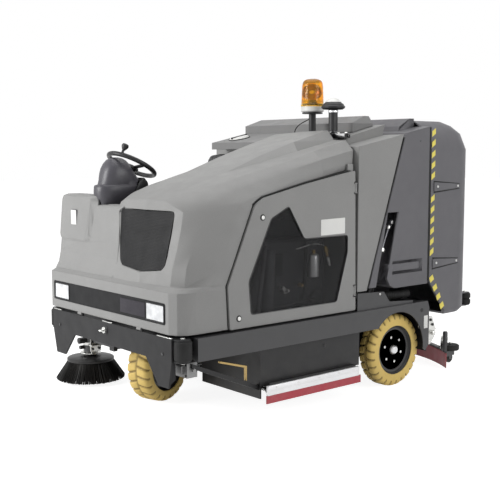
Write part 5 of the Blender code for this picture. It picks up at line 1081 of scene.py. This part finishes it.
def add_nose_trim():
    slab_piece("lamp_bar_vent", "hood_assembly", VENT,
        rounded([(0.120, 0.590), (0.352, 0.590), (0.352, 0.666), (0.120, 0.666)], 0.004), "y", 0.0095,
        0.0132, 0.0008)
    for label, low_x in (("left", 0.362), ("right", -0.585)):
        shape = rounded([(low_x - 0.004, 0.582), (low_x + 0.156, 0.582), (low_x + 0.156, 0.672),
            (low_x - 0.004, 0.672)], 0.010)
        band("headlight_frame_" + label, "hood_assembly", [(x, 0.0125, z) for x, z in shape], 0.0055, 0.004,
            BLACK)
    bm = bmesh.new()
    badge = rounded([(-0.502, 1.016), (-0.442, 1.016), (-0.442, 1.100), (-0.502, 1.100)], 0.004, 3)
    slab(bm, badge, "y", 0.0760, 0.0865)
    finish_form(bm, "nose_plate", "hood_assembly", WHITE)
    band("nose_plate_frame", "hood_assembly", [(x, 0.0790, z) for x, z in badge], 0.004, 0.006, DARK_GREY)
    bm = bmesh.new()
    for low_x, high_x in ((-0.592, -0.505), (-0.052, 0.045), (0.470, 0.592)):
        block(bm, (low_x, 0.0005, 0.5155), (high_x, 0.0100, 0.5200), 0.001)
    finish_form(bm, "hinge_leaves", "machine", ZINC)
    spots = [((x, -0.0015, 0.430), (0, -1, 0)) for x in (-0.520, 0.520)]
    fasteners("bumper_bolts", "machine", spots, 0.008, 0.004, ANTHRACITE)
    turned_piece("tow_eye_washer", "machine", BLACK, [(0, -0.0005), (0.026, -0.0005), (0.026, 0.002),
        (0.022, 0.0035), (0, 0.0035)], (-0.019, -0.0002, 0.472), (0, -1, 0), 32)


def add_under_bumper():
    """The valve block behind the left flap, the deck's front rails and the bracket above them."""
    bm = bmesh.new()
    block(bm, (0.470, 0.100, 0.300), (0.590, 0.165, 0.380), 0.004)
    block(bm, (0.500, 0.085, 0.318), (0.560, 0.100, 0.362), 0.003)
    turned(bm, rod(0.010, 0.022), (0.590, 0.130, 0.342), (1, 0, 0), 6)
    finish_form(bm, "valve_block", "machine", CAST_GREY)
    fasteners("valve_block_screws", "machine", [((x, 0.0990, z), (0, -1, 0)) for x in (0.480, 0.580)
        for z in (0.312, 0.368)], 0.006, 0.005, BLACK)
    for label, side in SIDES:
        slab_piece("deck_rail_" + label, "machine", BLACK, [(0.120, 0.352), (0.120, 0.376), (0.575, 0.186),
            (0.575, 0.160)], "x", side * 0.588, side * 0.606, 0.002)
        slab_piece("deck_bracket_" + label, "machine", BRASS, [(0.300, 0.352), (0.300, 0.362),
            (0.480, 0.312), (0.480, 0.232), (0.474, 0.232), (0.472, 0.302)], "x", side * 0.588, side * 0.606,
            0.001)


BEACON_AXIS = Vector((0.200, 1.345, 0))
BULB_HEIGHT = 1.790
INTAKE_AXIS = Vector((0.400, 1.320, 0))
COVER_TOP = 1.5355
COVER_SLOPE = ((1.157, 1.494), (1.443, 1.556))
COVER_CAP = (-0.420, 1.285)


def add_beacon():
    centre = BEACON_AXIS
    turned_piece("beacon_ring", "machine", WHITE, [(0.0562, 1.6760), (0.0660, 1.6760), (0.0690, 1.6800),
        (0.0690, 1.7060), (0.0562, 1.7060)], centre, (0, 0, 1), 40)
    lens = turned_piece("beacon_dome", "machine", LOOKS["amber_lens"], [(0.0630, 1.7080), (0.0705, 1.7080),
        (0.0705, 1.7190), (0.0680, 1.7210), (0.0665, 1.7600), (0.0635, 1.8280), (0.0605, 1.8480),
        (0.0530, 1.8610), (0.0390, 1.8690), (0.0200, 1.8722), (0, 1.8726), (0, 1.8692), (0.0200, 1.8686),
        (0.0375, 1.8655), (0.0505, 1.8580), (0.0572, 1.8460), (0.0602, 1.8270), (0.0632, 1.7600),
        (0.0645, 1.7250)], centre, (0, 0, 1), 48, smooth=50.0)
    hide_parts("beacon_lens")
    turned_piece("beacon_bulb_base", "machine", BLACK, [(0, 1.7132), (0.046, 1.7132), (0.046, 1.7180),
        (0.020, 1.7220), (0.014, 1.7300), (0.014, 1.7420), (0, 1.7420)], centre, (0, 0, 1), 28)
    look = Vector((0.55, -0.80, 0.0)).normalized()
    bulb = centre + Vector((0, 0, BULB_HEIGHT))
    bm = bmesh.new()
    dish = [(0.0, -0.012), (0.012, -0.010), (0.026, -0.003), (0.038, 0.008), (0.045, 0.020), (0.0465, 0.020),
        (0.0395, 0.006), (0.027, -0.006), (0.012, -0.0125), (0.0, -0.0145)]
    turned(bm, dish, bulb - look * 0.012, look, 36)
    finish_form(bm, "beacon_reflector", "machine", REFLECTOR)
    turned_piece("beacon_bulb", "machine", WHITE, [(0, -0.010), (0.009, -0.008), (0.011, 0.000),
        (0.009, 0.008), (0, 0.010)], bulb + look * 0.004, look, 20)
    route = smooth_path([(0.184, 1.3450, 1.6330), (0.160, 1.3450, 1.6280), (0.120, 1.3450, 1.6150),
        (0.080, 1.3460, 1.5980), (0.050, 1.3480, 1.5760), (0.038, 1.3500, 1.5500), (0.036, 1.3520, 1.5330)],
        20)
    lead = tube("beacon_lead", "machine", route, 0.0030, RUBBER)
    bm = bmesh.new()
    turned(bm, [(0, 0), (0.010, 0), (0.009, 0.018), (0.005, 0.026), (0, 0.026)], (0.036, 1.352, 1.5205),
        (0, 0, 1), 20)
    turned(bm, [(0, 0), (0.006, 0), (0.005, 0.012), (0, 0.012)], (0.178, 1.345, 1.6330), (-1, 0, -0.1), 16)
    finish_form(bm, "beacon_lead_glands", "machine", BLACK)
    turned_piece("beacon_foot", "machine", BLACK, [(0, COVER_TOP), (0.036, COVER_TOP), (0.036, 1.5400),
        (0.026, 1.5430), (0.0215, 1.5500), (0.0215, 1.6640), (0.0172, 1.6640), (0.0172, COVER_TOP)], centre,
        (0, 0, 1), 32)
    spots = [(centre + Vector((0.030 * math.cos(a), 0.030 * math.sin(a), 1.5420)), (0, 0, 1))
        for a in (0.8, 2.37, 3.94, 5.5)]
    fasteners("beacon_foot_screws", "machine", spots, 0.0040, 0.004)


def add_intake():
    centre = INTAKE_AXIS
    turned_piece("intake_clamp", "machine", ALUMINIUM, [(0.0275, 1.6650), (0.0300, 1.6650), (0.0300, 1.6760),
        (0.0275, 1.6760)], centre, (0, 0, 1), 32)
    turned_piece("intake_dome", "machine", WHITE, [(0, 1.7500), (0.014, 1.7490), (0.030, 1.7425),
        (0.046, 1.7285), (0.048, 1.7240), (0, 1.7240)], centre, (0, 0, 1), 36)
    turned_piece("intake_brim", "machine", BLACK, [(0.030, 1.6960), (0.062, 1.6880), (0.069, 1.6900),
        (0.070, 1.6990), (0.060, 1.7110), (0.040, 1.7300), (0.030, 1.7300)], centre, (0, 0, 1), 40)
    bm = bmesh.new()
    turned(bm, [(0, COVER_TOP), (0.038, COVER_TOP), (0.038, 1.5440), (0.032, 1.5500), (0.0275, 1.5560),
        (0.0275, COVER_TOP)], centre, (0, 0, 1), 32)
    slab(bm, rounded([(0.410, 1.290), (0.520, 1.300), (0.535, 1.320), (0.520, 1.342), (0.410, 1.350)],
        0.012), "z", 1.5130, 1.5420, 0.004)
    finish_form(bm, "intake_elbow", "machine", GLOSS_BLACK)
    fasteners("intake_elbow_bolts", "machine", [((0.505, 1.320, 1.5440), (0, 0, 1)),
        ((0.452, 1.312, 1.5440), (0, 0, 1))], 0.008, 0.010)


def add_rear_cover_trim():
    (front, low), (rear, high) = COVER_SLOPE
    tilt = math.atan2(high - low, rear - front)
    way = Vector((0, -math.sin(tilt), math.cos(tilt)))
    x, y = COVER_CAP
    centre = Vector((x, y, low + (y - front) * math.tan(tilt)))
    turned_piece("cover_cap", "machine", WHITE, [(0, -0.001), (0.064, -0.001), (0.064, 0.006),
        (0.058, 0.0125), (0.040, 0.0145), (0, 0.0150)], centre, way, 40)
    bm = bmesh.new()
    turned(bm, [(0.0645, -0.001), (0.0710, -0.001), (0.0710, 0.0040), (0.0645, 0.0040)], centre, way, 40)
    along_y = Vector((0, math.cos(tilt), math.sin(tilt)))
    outline = ((-0.006, -0.066), (0.006, -0.066), (0.006, 0.066), (-0.006, 0.066))
    spots = [centre + way * 0.0190 + Vector((x, 0, 0)) + along_y * y for x, y in outline]
    low = [bm.verts.new(p - way * 0.009) for p in spots]
    high = [bm.verts.new(p) for p in spots]
    bm.faces.new(low)
    bm.faces.new(high)
    for k in range(4):
        bm.faces.new((low[k], low[(k + 1) % 4], high[(k + 1) % 4], high[k]))
    finish_form(bm, "cover_cap_handle", "machine", BLACK)


# Engine bay behind the glass

BAY_PIPES = (
    ("coolant_pipe", 0.0035, ZINC, (0.585, 0.850, 0.904), (0.600, 0.880, 0.912), (0.600, 0.960, 0.925),
        (0.590, 1.035, 0.918), (0.585, 1.070, 0.905)),
    ("low_pipe", 0.0050, ANTHRACITE, (0.560, 0.640, 0.620), (0.590, 0.670, 0.600), (0.595, 0.800, 0.604),
        (0.590, 0.960, 0.616), (0.575, 1.000, 0.616)),
    ("bay_hose_front", 0.0140, RUBBER, (0.535, 0.480, 0.640), (0.580, 0.500, 0.660), (0.592, 0.530, 0.760),
        (0.580, 0.600, 0.930), (0.530, 0.640, 0.960)),
    ("bay_hose_rear", 0.0110, RUBBER, (0.540, 0.860, 0.560), (0.580, 0.880, 0.600), (0.588, 0.905, 0.700),
        (0.580, 0.930, 0.850), (0.540, 0.960, 0.930)))


def add_engine_bay():
    bm = bmesh.new()
    turned(bm, [(0, 0), (0.032, 0), (0.032, 0.330), (0.026, 0.350), (0, 0.352)], (0.572, 0.650, 0.5600),
        (0, 0.05, 1), 28)
    turned(bm, rod(0.012, 0.400), (0.590, 0.560, 0.5400), (0, 0.16, 1), 16)
    finish_form(bm, "bay_ducts", "machine", DARK_GREY)
    turned_piece("fuel_filter", "machine", ALUMINIUM, [(0, 0), (0.030, 0), (0.034, 0.004), (0.034, 0.118),
        (0.030, 0.126), (0.016, 0.130), (0, 0.130)], (0.580, 0.985, 0.7380), (0, 0, 1), 32)
    bm = bmesh.new()
    turned(bm, [(0, 0), (0.010, 0), (0.010, 0.016), (0.014, 0.018), (0.014, 0.034), (0.008, 0.036),
        (0.008, 0.060), (0, 0.062)], (0.585, 1.075, 0.905), (0, 0.35, -1), 12)
    turned(bm, rod(0.011, 0.020), (0.585, 0.985, 0.870), (0, 0, 1), 6)
    turned(bm, [(0, 0), (0.013, 0), (0.013, 0.020), (0.008, 0.024), (0.008, 0.040), (0, 0.040)],
        (0.560, 0.900, 0.700), (1, -0.3, 0), 8)
    finish_form(bm, "brass_fittings", "machine", BRASS)
    bm = bmesh.new()
    turned(bm, rod(0.009, 0.050), (0.585, 1.098, 0.840), (0, 0.35, -1), 12)
    turned(bm, [(0, 0), (0.016, 0), (0.016, 0.012), (0.009, 0.016), (0.009, 0.034), (0, 0.034)],
        (0.556, 0.792, 0.672), (1, 0, 0.2), 8)
    turned(bm, rod(0.012, 0.024), (0.556, 0.760, 0.694), (1, 0.2, 0), 6)
    finish_form(bm, "steel_fittings", "machine", ZINC)
    bm = bmesh.new()
    turned(bm, [(0, 0), (0.040, 0), (0.044, 0.006), (0.044, 0.026), (0.036, 0.034), (0.016, 0.038),
        (0, 0.038)], (0.546, 1.027, 0.616), (1, 0, 0), 32)
    block(bm, (0.541, 0.700, 0.760), (0.556, 0.780, 0.880), 0.004)
    finish_form(bm, "bay_covers", "machine", BLACK)
    for name, radius, look, *points in BAY_PIPES:
        tube(name, "machine", smooth_path(points, 24), radius, look, sides=12)
    rows = []
    for y in (0.500, 0.620, 0.740, 0.860, 0.980):
        rows += [((0.462, y, 1.060), (1, 0, 0)), ((0.462, y + 0.03, 0.985), (1, 0, 0))]
    fasteners("engine_head_bolts", "machine", rows, 0.009, 0.010, CAST)


# Driver's place

def superellipse(half_x, half_y, power, count):
    out = []
    for k in range(count):
        a = 2 * math.pi * k / count
        c, s = math.cos(a), math.sin(a)
        out.append((half_x * math.copysign(abs(c) ** (2 / power), c),
            half_y * math.copysign(abs(s) ** (2 / power), s)))
    return out


COLUMN_X = -0.280
HAND_WHEEL = Vector((COLUMN_X, 0.355, 1.360))
HAND_WHEEL_TILT = math.radians(28)
HAND_WHEEL_RADIUS = 0.1415
WHEEL_SLOPE = Vector((0, 0.883, -0.469))
KNOB_ANGLE = math.radians(298)


def add_column():
    """The rounded column shell in place of the plain one, its collar and the black panel."""
    rows = [(0.5255, 0.055, 0.165, 0.288), (0.700, 0.056, 0.166, 0.292), (0.980, 0.060, 0.160, 0.306),
        (1.090, 0.066, 0.136, 0.328), (1.165, 0.075, 0.116, 0.366), (1.210, 0.081, 0.112, 0.394),
        (1.238, 0.082, 0.114, 0.408), (1.246, 0.080, 0.120, 0.408), (1.250, 0.076, 0.138, 0.402),
        (1.275, 0.079, 0.147, 0.384), (1.310, 0.080, 0.154, 0.356), (1.340, 0.0765, 0.163, 0.336),
        (1.366, 0.0660, 0.177, 0.319), (1.386, 0.0500, 0.193, 0.302), (1.398, 0.0300, 0.210, 0.282),
        (1.403, 0.0120, 0.230, 0.262)]
    bm = bmesh.new()
    count = 40
    rings = []
    for z, half_x, front, rear in rows:
        middle = (front + rear) / 2
        outline = superellipse(half_x, (rear - front) / 2, 2.6, count)
        rings.append([bm.verts.new((COLUMN_X + x, middle + y, z)) for x, y in outline])
    for low, high in zip(rings, rings[1:]):
        for k in range(count):
            bm.faces.new((low[k], low[(k + 1) % count], high[(k + 1) % count], high[k]))
    bm.faces.new(rings[0])
    bm.faces.new(rings[-1])
    shell = finish_form(bm, "column_shell", "machine", COLUMN_GREY, smooth=50.0)
    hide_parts("steering_column")
    normal = Vector((0, math.sin(HAND_WHEEL_TILT), math.cos(HAND_WHEEL_TILT)))
    centre = HAND_WHEEL
    bm = bmesh.new()
    turned(bm, [(0, 0), (0.026, 0), (0.024, 0.120), (0, 0.120)], centre - normal * 0.185, normal, 24)
    turned(bm, [(0, 0), (0.034, 0), (0.031, 0.030), (0, 0.034)], centre - normal * 0.130, normal, 24)
    finish_form(bm, "steering_shaft", "machine", BLACK)
    bm = bmesh.new()
    panel = rounded([(0.240, 1.080), (0.320, 1.080), (0.385, 1.165), (0.4135, 1.232), (0.4135, 1.258),
        (0.385, 1.290), (0.350, 1.262), (0.300, 1.165)], 0.012)
    slab(bm, panel, "x", -0.3640, -0.1960, 0.006)
    finish_form(bm, "column_panel", "machine", BLACK)
    slab_piece("column_slot", "machine", BLACK, rounded([(-0.262, 1.138), (-0.250, 1.138), (-0.250, 1.166),
        (-0.262, 1.166)], 0.004), "y", 0.1165, 0.1300)
    rim_out = Vector((1, 0, 0)) * math.cos(KNOB_ANGLE) + WHEEL_SLOPE * math.sin(KNOB_ANGLE)
    base = centre + rim_out * 0.142
    turned_piece("wheel_knob", "hand_wheel", BLACK, [(0, 0), (0.008, 0), (0.007, 0.020), (0.011, 0.026),
        (0.019, 0.040), (0.021, 0.050), (0.017, 0.058), (0, 0.061)], base + normal * 0.006, normal, 24)
    bm = bmesh.new()
    turned(bm, [(0, 0), (0.046, 0), (0.050, 0.006), (0.046, 0.018), (0.030, 0.024), (0, 0.025)],
        centre - normal * 0.030, normal, 32)
    ring = [centre + (Vector((1, 0, 0)) * math.cos(a) + WHEEL_SLOPE * math.sin(a)) * HAND_WHEEL_RADIUS
        for a in [2 * math.pi * k / 48 for k in range(48)]]
    tube("wheel_grip", "hand_wheel", ring, 0.0135, sides=12, closed=True)
    finish_form(bm, "wheel_hub_cap", "hand_wheel", BLACK)


def add_footwell():
    bm = bmesh.new()
    for x, z in ((-0.170, 0.005), (-0.400, 0.0)):
        low = Vector((x, 0.300, 0.5320 + z))
        pad = [(low.y, low.z), (low.y + 0.006, low.z - 0.001), (low.y - 0.048, low.z + 0.118),
            (low.y - 0.056, low.z + 0.116)]
        slab(bm, rounded(pad, 0.003, 2), "x", x - 0.035, x + 0.035, 0.001)
    finish_form(bm, "pedals", "machine", RUBBER)
    bm = bmesh.new()
    for k in range(22):
        y = 0.370 + 0.016 * k
        block(bm, (-0.600, y, 0.5250), (-0.120, y + 0.006, 0.5275), 0.0006)
    finish_form(bm, "floor_mat_ribs", "machine", RUBBER)


def pad_shape(name, low, high, radius):
    """A rounded block, a little smaller than its CAD solid, ready to be inflated."""
    bm = bmesh.new()
    slab(bm, rounded(oblong(low, high), radius, 5), "z", low[2], high[2])
    mesh = mesh_of(bm, name)
    piece = bpy.data.objects.new(name, mesh)
    bpy.context.scene.collection.objects.link(piece)
    return piece


def apply_modifiers(piece):
    mesh = bpy.data.meshes.new_from_object(piece.evaluated_get(bpy.context.evaluated_depsgraph_get()))
    piece.modifiers.clear()
    piece.data = mesh


def inflate(piece, cap, pressure=4.0):
    """Remesh a pad, blow it up as cloth for twenty frames and cap how far each point moves."""
    step = piece.modifiers.new("remesh", "REMESH")
    step.mode = "VOXEL"
    step.voxel_size = PAD_VOXEL
    apply_modifiers(piece)
    start = [v.co.copy() for v in piece.data.vertices]
    cloth = piece.modifiers.new("cloth", "CLOTH")
    settings = cloth.settings
    settings.use_pressure = True
    settings.uniform_pressure_force = pressure
    settings.quality = 5
    settings.mass = CLOTH_MASS
    settings.tension_stiffness = CLOTH_STIFFNESS
    settings.compression_stiffness = CLOTH_STIFFNESS
    settings.effector_weights.gravity = 0.0
    scene = bpy.context.scene
    for number in range(1, CLOTH_FRAMES + 1):
        scene.frame_set(number)
    apply_modifiers(piece)
    scene.frame_set(1)
    for vertex, home in zip(piece.data.vertices, start):
        move = vertex.co - home
        if move.length > cap:
            vertex.co = home + move.normalized() * cap
    smooth = piece.modifiers.new("subdivide", "SUBSURF")
    smooth.levels = 1
    smooth.render_levels = 1
    apply_modifiers(piece)


def clamp_into(piece, low, high, groove=None):
    for vertex in piece.data.vertices:
        for axis in range(3):
            vertex.co[axis] = min(max(vertex.co[axis], low[axis]), high[axis])
        if groove:
            groove(vertex.co)


CUSHION_MIDDLE = -0.360
BACK_MIDDLE = -0.365
SEAM_WIDTH = 0.006
SIDE_SEAM_DEPTH = 0.007
CROSS_SEAM_DEPTH = 0.005
PAD_VOXEL = 0.006
CLOTH_FRAMES = 20
CLOTH_MASS = 0.3
CLOTH_STIFFNESS = 25


def add_seat():
    """The seat's cushion and back: inflated pads with a sunk panel, sewn lines and piping."""
    cushion = pad_shape("seat_pad", (-0.563, 0.774, 0.868), (-0.157, 1.106, 0.948), 0.05)
    inflate(cushion, 0.014)

    def sink_cushion(co):
        if co.z > 0.925:
            across = abs(co.x - CUSHION_MIDDLE)
            co.z -= SIDE_SEAM_DEPTH * math.exp(-((across - 0.130) / SEAM_WIDTH) ** 2)
            for line in (0.870, 1.010):
                if across < 0.130:
                    co.z -= CROSS_SEAM_DEPTH * math.exp(-((co.y - line) / SEAM_WIDTH) ** 2)

    clamp_into(cushion, (-0.5745, 0.7605, 0.8606), (-0.1455, 1.1190, 0.9598), sink_cushion)
    back = pad_shape("seat_back_pad", (-0.572, 0.0, 0.0), (-0.158, 0.548, 0.088), 0.085)
    inflate(back, 0.012)
    for vertex in back.data.vertices:
        if vertex.co.z > 0.050:
            across = abs(vertex.co.x - BACK_MIDDLE)
            vertex.co.z -= SIDE_SEAM_DEPTH * math.exp(-((across - 0.125) / SEAM_WIDTH) ** 2)
            for line in (0.150, 0.270, 0.390):
                if across < 0.125:
                    vertex.co.z -= CROSS_SEAM_DEPTH * math.exp(-((vertex.co.y - line) / SEAM_WIDTH) ** 2)
    for vertex in back.data.vertices:
        along_back, out = vertex.co.y, vertex.co.z
        vertex.co.y = 1.2080 + along_back * 0.010 - out
        vertex.co.z = 0.878 + along_back + out * 0.010
    clamp_into(back, (-0.5840, 1.1080, 0.8604), (-0.1480, 1.2300, 1.4400))
    bm = bmesh.new()
    line = [(1.1900, 0.8606), (1.1900, 1.395), (1.2200, 1.415), (1.2520, 1.385), (1.2560, 0.8606)]
    slab(bm, rounded(line, 0.010, 3), "x", -0.545, -0.175, 0.004)
    shell = finish_form(bm, "seat_back_shell", "machine", BLACK)
    for piece, node, name in ((cushion, "seat_cushion", "seat_pad"), (back, "seat_back", "seat_back_pad")):
        mesh = piece.data
        bpy.data.objects.remove(piece)
        pad = finish_piece(name, mesh, "machine", VINYL, smooth=70.0)
        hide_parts(node)
    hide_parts("seat_back")
    edge = [(x, y, 0.9370) for x, y in rounded([(-0.5705, 0.7650), (-0.1495, 0.7650), (-0.1495, 1.1145),
        (-0.5705, 1.1145)], 0.050, 6)]
    tube("cushion_piping", "machine", edge, 0.0028, VINYL, sides=8, closed=True)


# Deck and squeegee trim

ROLLER_HEIGHT = 0.200
TUFT_RING = 0.086
TUFT_ROWS = 30
TUFTS_IN_A_ROW = 46
SQUEEGEE_APEX = 2.470
SQUEEGEE_BOW = 0.620
DEFLECTOR_X = 0.520
BRACKET_X = 0.470


def add_deck_trim():
    for label, side in SIDES:
        slab_piece("skirt_face_" + label, "machine", ALUMINIUM, [(0.578, 0.1680), (0.578, 0.1950),
            (1.286, 0.1950), (1.286, 0.1680)], "x", side * 0.6622, side * 0.6640, 0.0004)
        spots = [((side * 0.6650, y, 0.182), (side, 0, 0)) for y in (0.640, 0.800, 0.960, 1.120, 1.240)]
        fasteners("skirt_screws_" + label, "machine", spots, 0.0045, 0.002, sides=10)
        turned_piece("deck_plug_" + label, "machine", BLACK, [(0, -0.001), (0.011, -0.001), (0.011, 0.0015),
            (0.007, 0.0022), (0, 0.0022)], (side * 0.6200, 1.041, 0.345), (side, 0, 0), 24)
        turned_piece("beam_hole_" + label, "machine", BLACK, [(0, -0.0005), (0.0125, -0.0005),
            (0.0125, 0.0010), (0, 0.0010)], (side * 0.6652, 1.847, 0.463), (side, 0, 0), 24)
        slab_piece("beam_plate_" + label, "machine", WHITE,
            rounded([(1.868, 0.345), (1.868, 0.425), (1.905, 0.425), (1.905, 0.345)], 0.003, 2), "x",
            side * 0.6650, side * 0.6656)
    for label, y in (("front", 0.790), ("rear", 1.060)):
        spots = []
        for k in range(TUFT_ROWS):
            for j in range(TUFTS_IN_A_ROW):
                a = 2 * math.pi * (k + 0.5 * (j % 2)) / TUFT_ROWS
                way = Vector((0, math.cos(a), math.sin(a)))
                root = Vector((-0.550 + 1.100 * j / (TUFTS_IN_A_ROW - 1), y, ROLLER_HEIGHT))
                spots.append((root + way * TUFT_RING, way))
        mesh = grow_tree("roller_bristles", facing_points(spots), BRISTLES,
            {"Length": 0.026, "Radius": 0.0036, "Spread": 0.05, "Seed": 3, "Material": BRISTLE})
        tufts = finish_piece("roller_bristles_" + label, mesh, "scrub_roller_" + label, BRISTLE)
        core = turned_piece("roller_core_" + label, "scrub_roller_" + label, BLACK,
            [(0, -0.6092), (0.0195, -0.6092), (0.0195, -0.558), (0.080, -0.556), (0.080, 0.556),
            (0.0195, 0.558), (0.0195, 0.6092), (0, 0.6092)], (0, y, ROLLER_HEIGHT), (1, 0, 0), 32)
        for piece in (tufts, core):
            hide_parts("scrub_roller_" + label)


def squeegee_y(x):
    return SQUEEGEE_APEX - SQUEEGEE_BOW * x * x


def add_squeegee_trim():
    spots = []
    for x in (-0.42, -0.28, -0.14, 0.14, 0.28, 0.42):
        spots.append(((x, squeegee_y(x) - 0.004, 0.1225), (0, 0, 1)))
    fasteners("squeegee_nuts", "squeegee", spots, 0.010, 0.008, BLACK, sides=8)
    for label, side in SIDES:
        bm = bmesh.new()
        x, y = side * BRACKET_X, squeegee_y(BRACKET_X) - 0.004
        plate = rounded([(y - 0.020, 0.1205), (y + 0.018, 0.1205), (y + 0.012, 0.205), (y - 0.010, 0.205)],
            0.006)
        for low in (x - 0.016, x + 0.012):
            slab(bm, plate, "x", low, low + 0.004, 0.0005)
        turned(bm, [(0, -0.019), (0.007, -0.019), (0.007, 0.019), (0, 0.019)], (x, y + 0.001, 0.190),
            (1, 0, 0), 16)
        turned(bm, [(0, -0.005), (0.013, -0.005), (0.013, 0.005), (0, 0.005)],
            (x + side * 0.021, y + 0.001, 0.190), (1, 0, 0), 20)
        finish_form(bm, "squeegee_bracket_" + label, "squeegee", ZINC)
    turned_piece("squeegee_outlet", "squeegee", BLACK, [(0, 0), (0.030, 0), (0.030, 0.030), (0.024, 0.034),
        (0.020, 0.060), (0, 0.060)], (0, squeegee_y(0) - 0.045, 0.119), (0, -0.6, 1), 28)
    for label, side in SIDES:
        bm = bmesh.new()
        x, y = side * DEFLECTOR_X, squeegee_y(DEFLECTOR_X) - 0.026
        turned(bm, [(0, 0.120), (0.016, 0.120), (0.016, 0.245), (0.012, 0.252), (0, 0.252)], (x, y, 0),
            (0, 0, 1), 20)
        finish_form(bm, "deflector_post_" + label, "squeegee", ANTHRACITE)
        bm = bmesh.new()
        slab(bm, rounded([(1.900, 0.395), (2.035, 0.395), (2.062, 0.330), (2.062, 0.262), (2.020, 0.215),
            (1.975, 0.215), (1.955, 0.262), (1.955, 0.330), (1.900, 0.330)], 0.010), "x", side * 0.592,
            side * 0.598, 0.0008)
        slab(bm, rounded([(1.985, 0.335), (2.075, 0.322), (2.085, 0.300), (2.000, 0.300)], 0.008), "x",
            side * 0.578, side * 0.592, 0.001)
        turned(bm, [(0, 0), (0.015, 0), (0.015, 0.022), (0.010, 0.026), (0, 0.026)],
            (side * 0.598, 2.030, 0.290), (side, 0, 0), 20)
        turned(bm, [(0, 0), (0.012, 0), (0.012, 0.018), (0.008, 0.022), (0, 0.022)],
            (side * 0.598, 1.990, 0.240), (side, 0, 0), 20)
        finish_form(bm, "rear_bracket_" + label, "machine", ZINC)
        bolts = ((1.975, 0.372), (2.020, 0.372), (1.972, 0.300), (2.040, 0.340))
        fasteners("rear_bracket_bolts_" + label, "machine",
            [((side * 0.5995, y, z), (side, 0, 0)) for y, z in bolts], 0.0090, 0.008, BLACK)
    fasteners("hanger_bolts", "machine", [((side * 0.112, 2.000, 0.300), (side, 0, 0)) for side in (-1, 1)],
        0.012, 0.006)


# Floor, light and background

# Name, place, size, watts and what each lamp looks at
SOFTBOXES = (("top_softbox", (0.3, -0.2, 4.8), 3.6, 92.0, (0, 0, 0.6)),
    ("front_softbox", (-1.8, -5.2, 2.4), 2.8, 238.0, (0, -0.4, 0.9)),
    ("side_softbox", (5.2, 0.8, 2.4), 2.6, 92.0, (0, 0.2, 0.8)))
AMBIENT = 0.30
FLOOR_SHADE = 0.42
FLOOR_GLOW = 0.90


def camera_mask(tree):
    path = tree.nodes.new("ShaderNodeLightPath")
    seen = calculate(tree, "MAXIMUM", path.outputs["Is Camera Ray"], path.outputs["Is Glossy Ray"])
    return calculate(tree, "MAXIMUM", seen, path.outputs["Is Transmission Ray"])


def add_floor():
    bm = bmesh.new()
    bmesh.ops.create_grid(bm, x_segments=1, y_segments=1, size=40.0)
    mesh = bpy.data.meshes.new("floor")
    bm.to_mesh(mesh)
    bm.free()
    floor = bpy.data.objects.new("floor", mesh)
    floor.location = (0, 0, -0.0005)
    bpy.context.scene.collection.objects.link(floor)
    look, tree, shader = blank_material("pale_floor")
    seen = camera_mask(tree)
    shade = (FLOOR_SHADE, FLOOR_SHADE, FLOOR_SHADE, 1)
    tree.links.new(mix_colour(tree, seen, (0.80, 0.80, 0.80, 1), shade), shader.inputs["Base Color"])
    shader.inputs["Roughness"].default_value = 0.8
    shader.inputs["Specular IOR Level"].default_value = 0.1
    shader.inputs["Emission Color"].default_value = (1, 1, 1, 1)
    tree.links.new(calculate(tree, "MULTIPLY", seen, FLOOR_GLOW), shader.inputs["Emission Strength"])
    mesh.materials.append(look)


def add_light():
    world = bpy.data.worlds.new("studio")
    bpy.context.scene.world = world
    world.use_nodes = True
    tree = world.node_tree
    back = tree.nodes["Background"]
    back.inputs["Color"].default_value = (1, 1, 1, 1)
    tree.links.new(remap(tree, camera_mask(tree), 0.0, 1.0, AMBIENT, 1.0), back.inputs["Strength"])
    for name, place, size, power, aim in SOFTBOXES:
        data = bpy.data.lights.new(name, "AREA")
        data.shape = "SQUARE"
        data.size = size
        data.energy = power
        lamp = bpy.data.objects.new(name, data)
        lamp.location = place
        lamp.rotation_euler = (Vector(aim) - Vector(place)).to_track_quat("-Z", "Y").to_euler()
        bpy.context.scene.collection.objects.link(lamp)


def main():
    set_camera()
    dress_nodes()
    add_suction_hose()
    add_lift_details()
    add_beacon()
    add_wheels()
    add_wheel_arches()
    add_skins()
    add_roller_caps()
    add_side_brush()
    add_hazard_marks()
    add_flap_straps()
    add_container_trim()
    add_door_trim()
    add_nose_trim()
    add_under_bumper()
    add_intake()
    add_rear_cover_trim()
    add_engine_bay()
    add_column()
    add_footwell()
    add_seat()
    add_deck_trim()
    add_squeegee_trim()
    add_floor()
    add_light()
    bpy.context.scene.view_settings.view_transform = "Standard"


main()
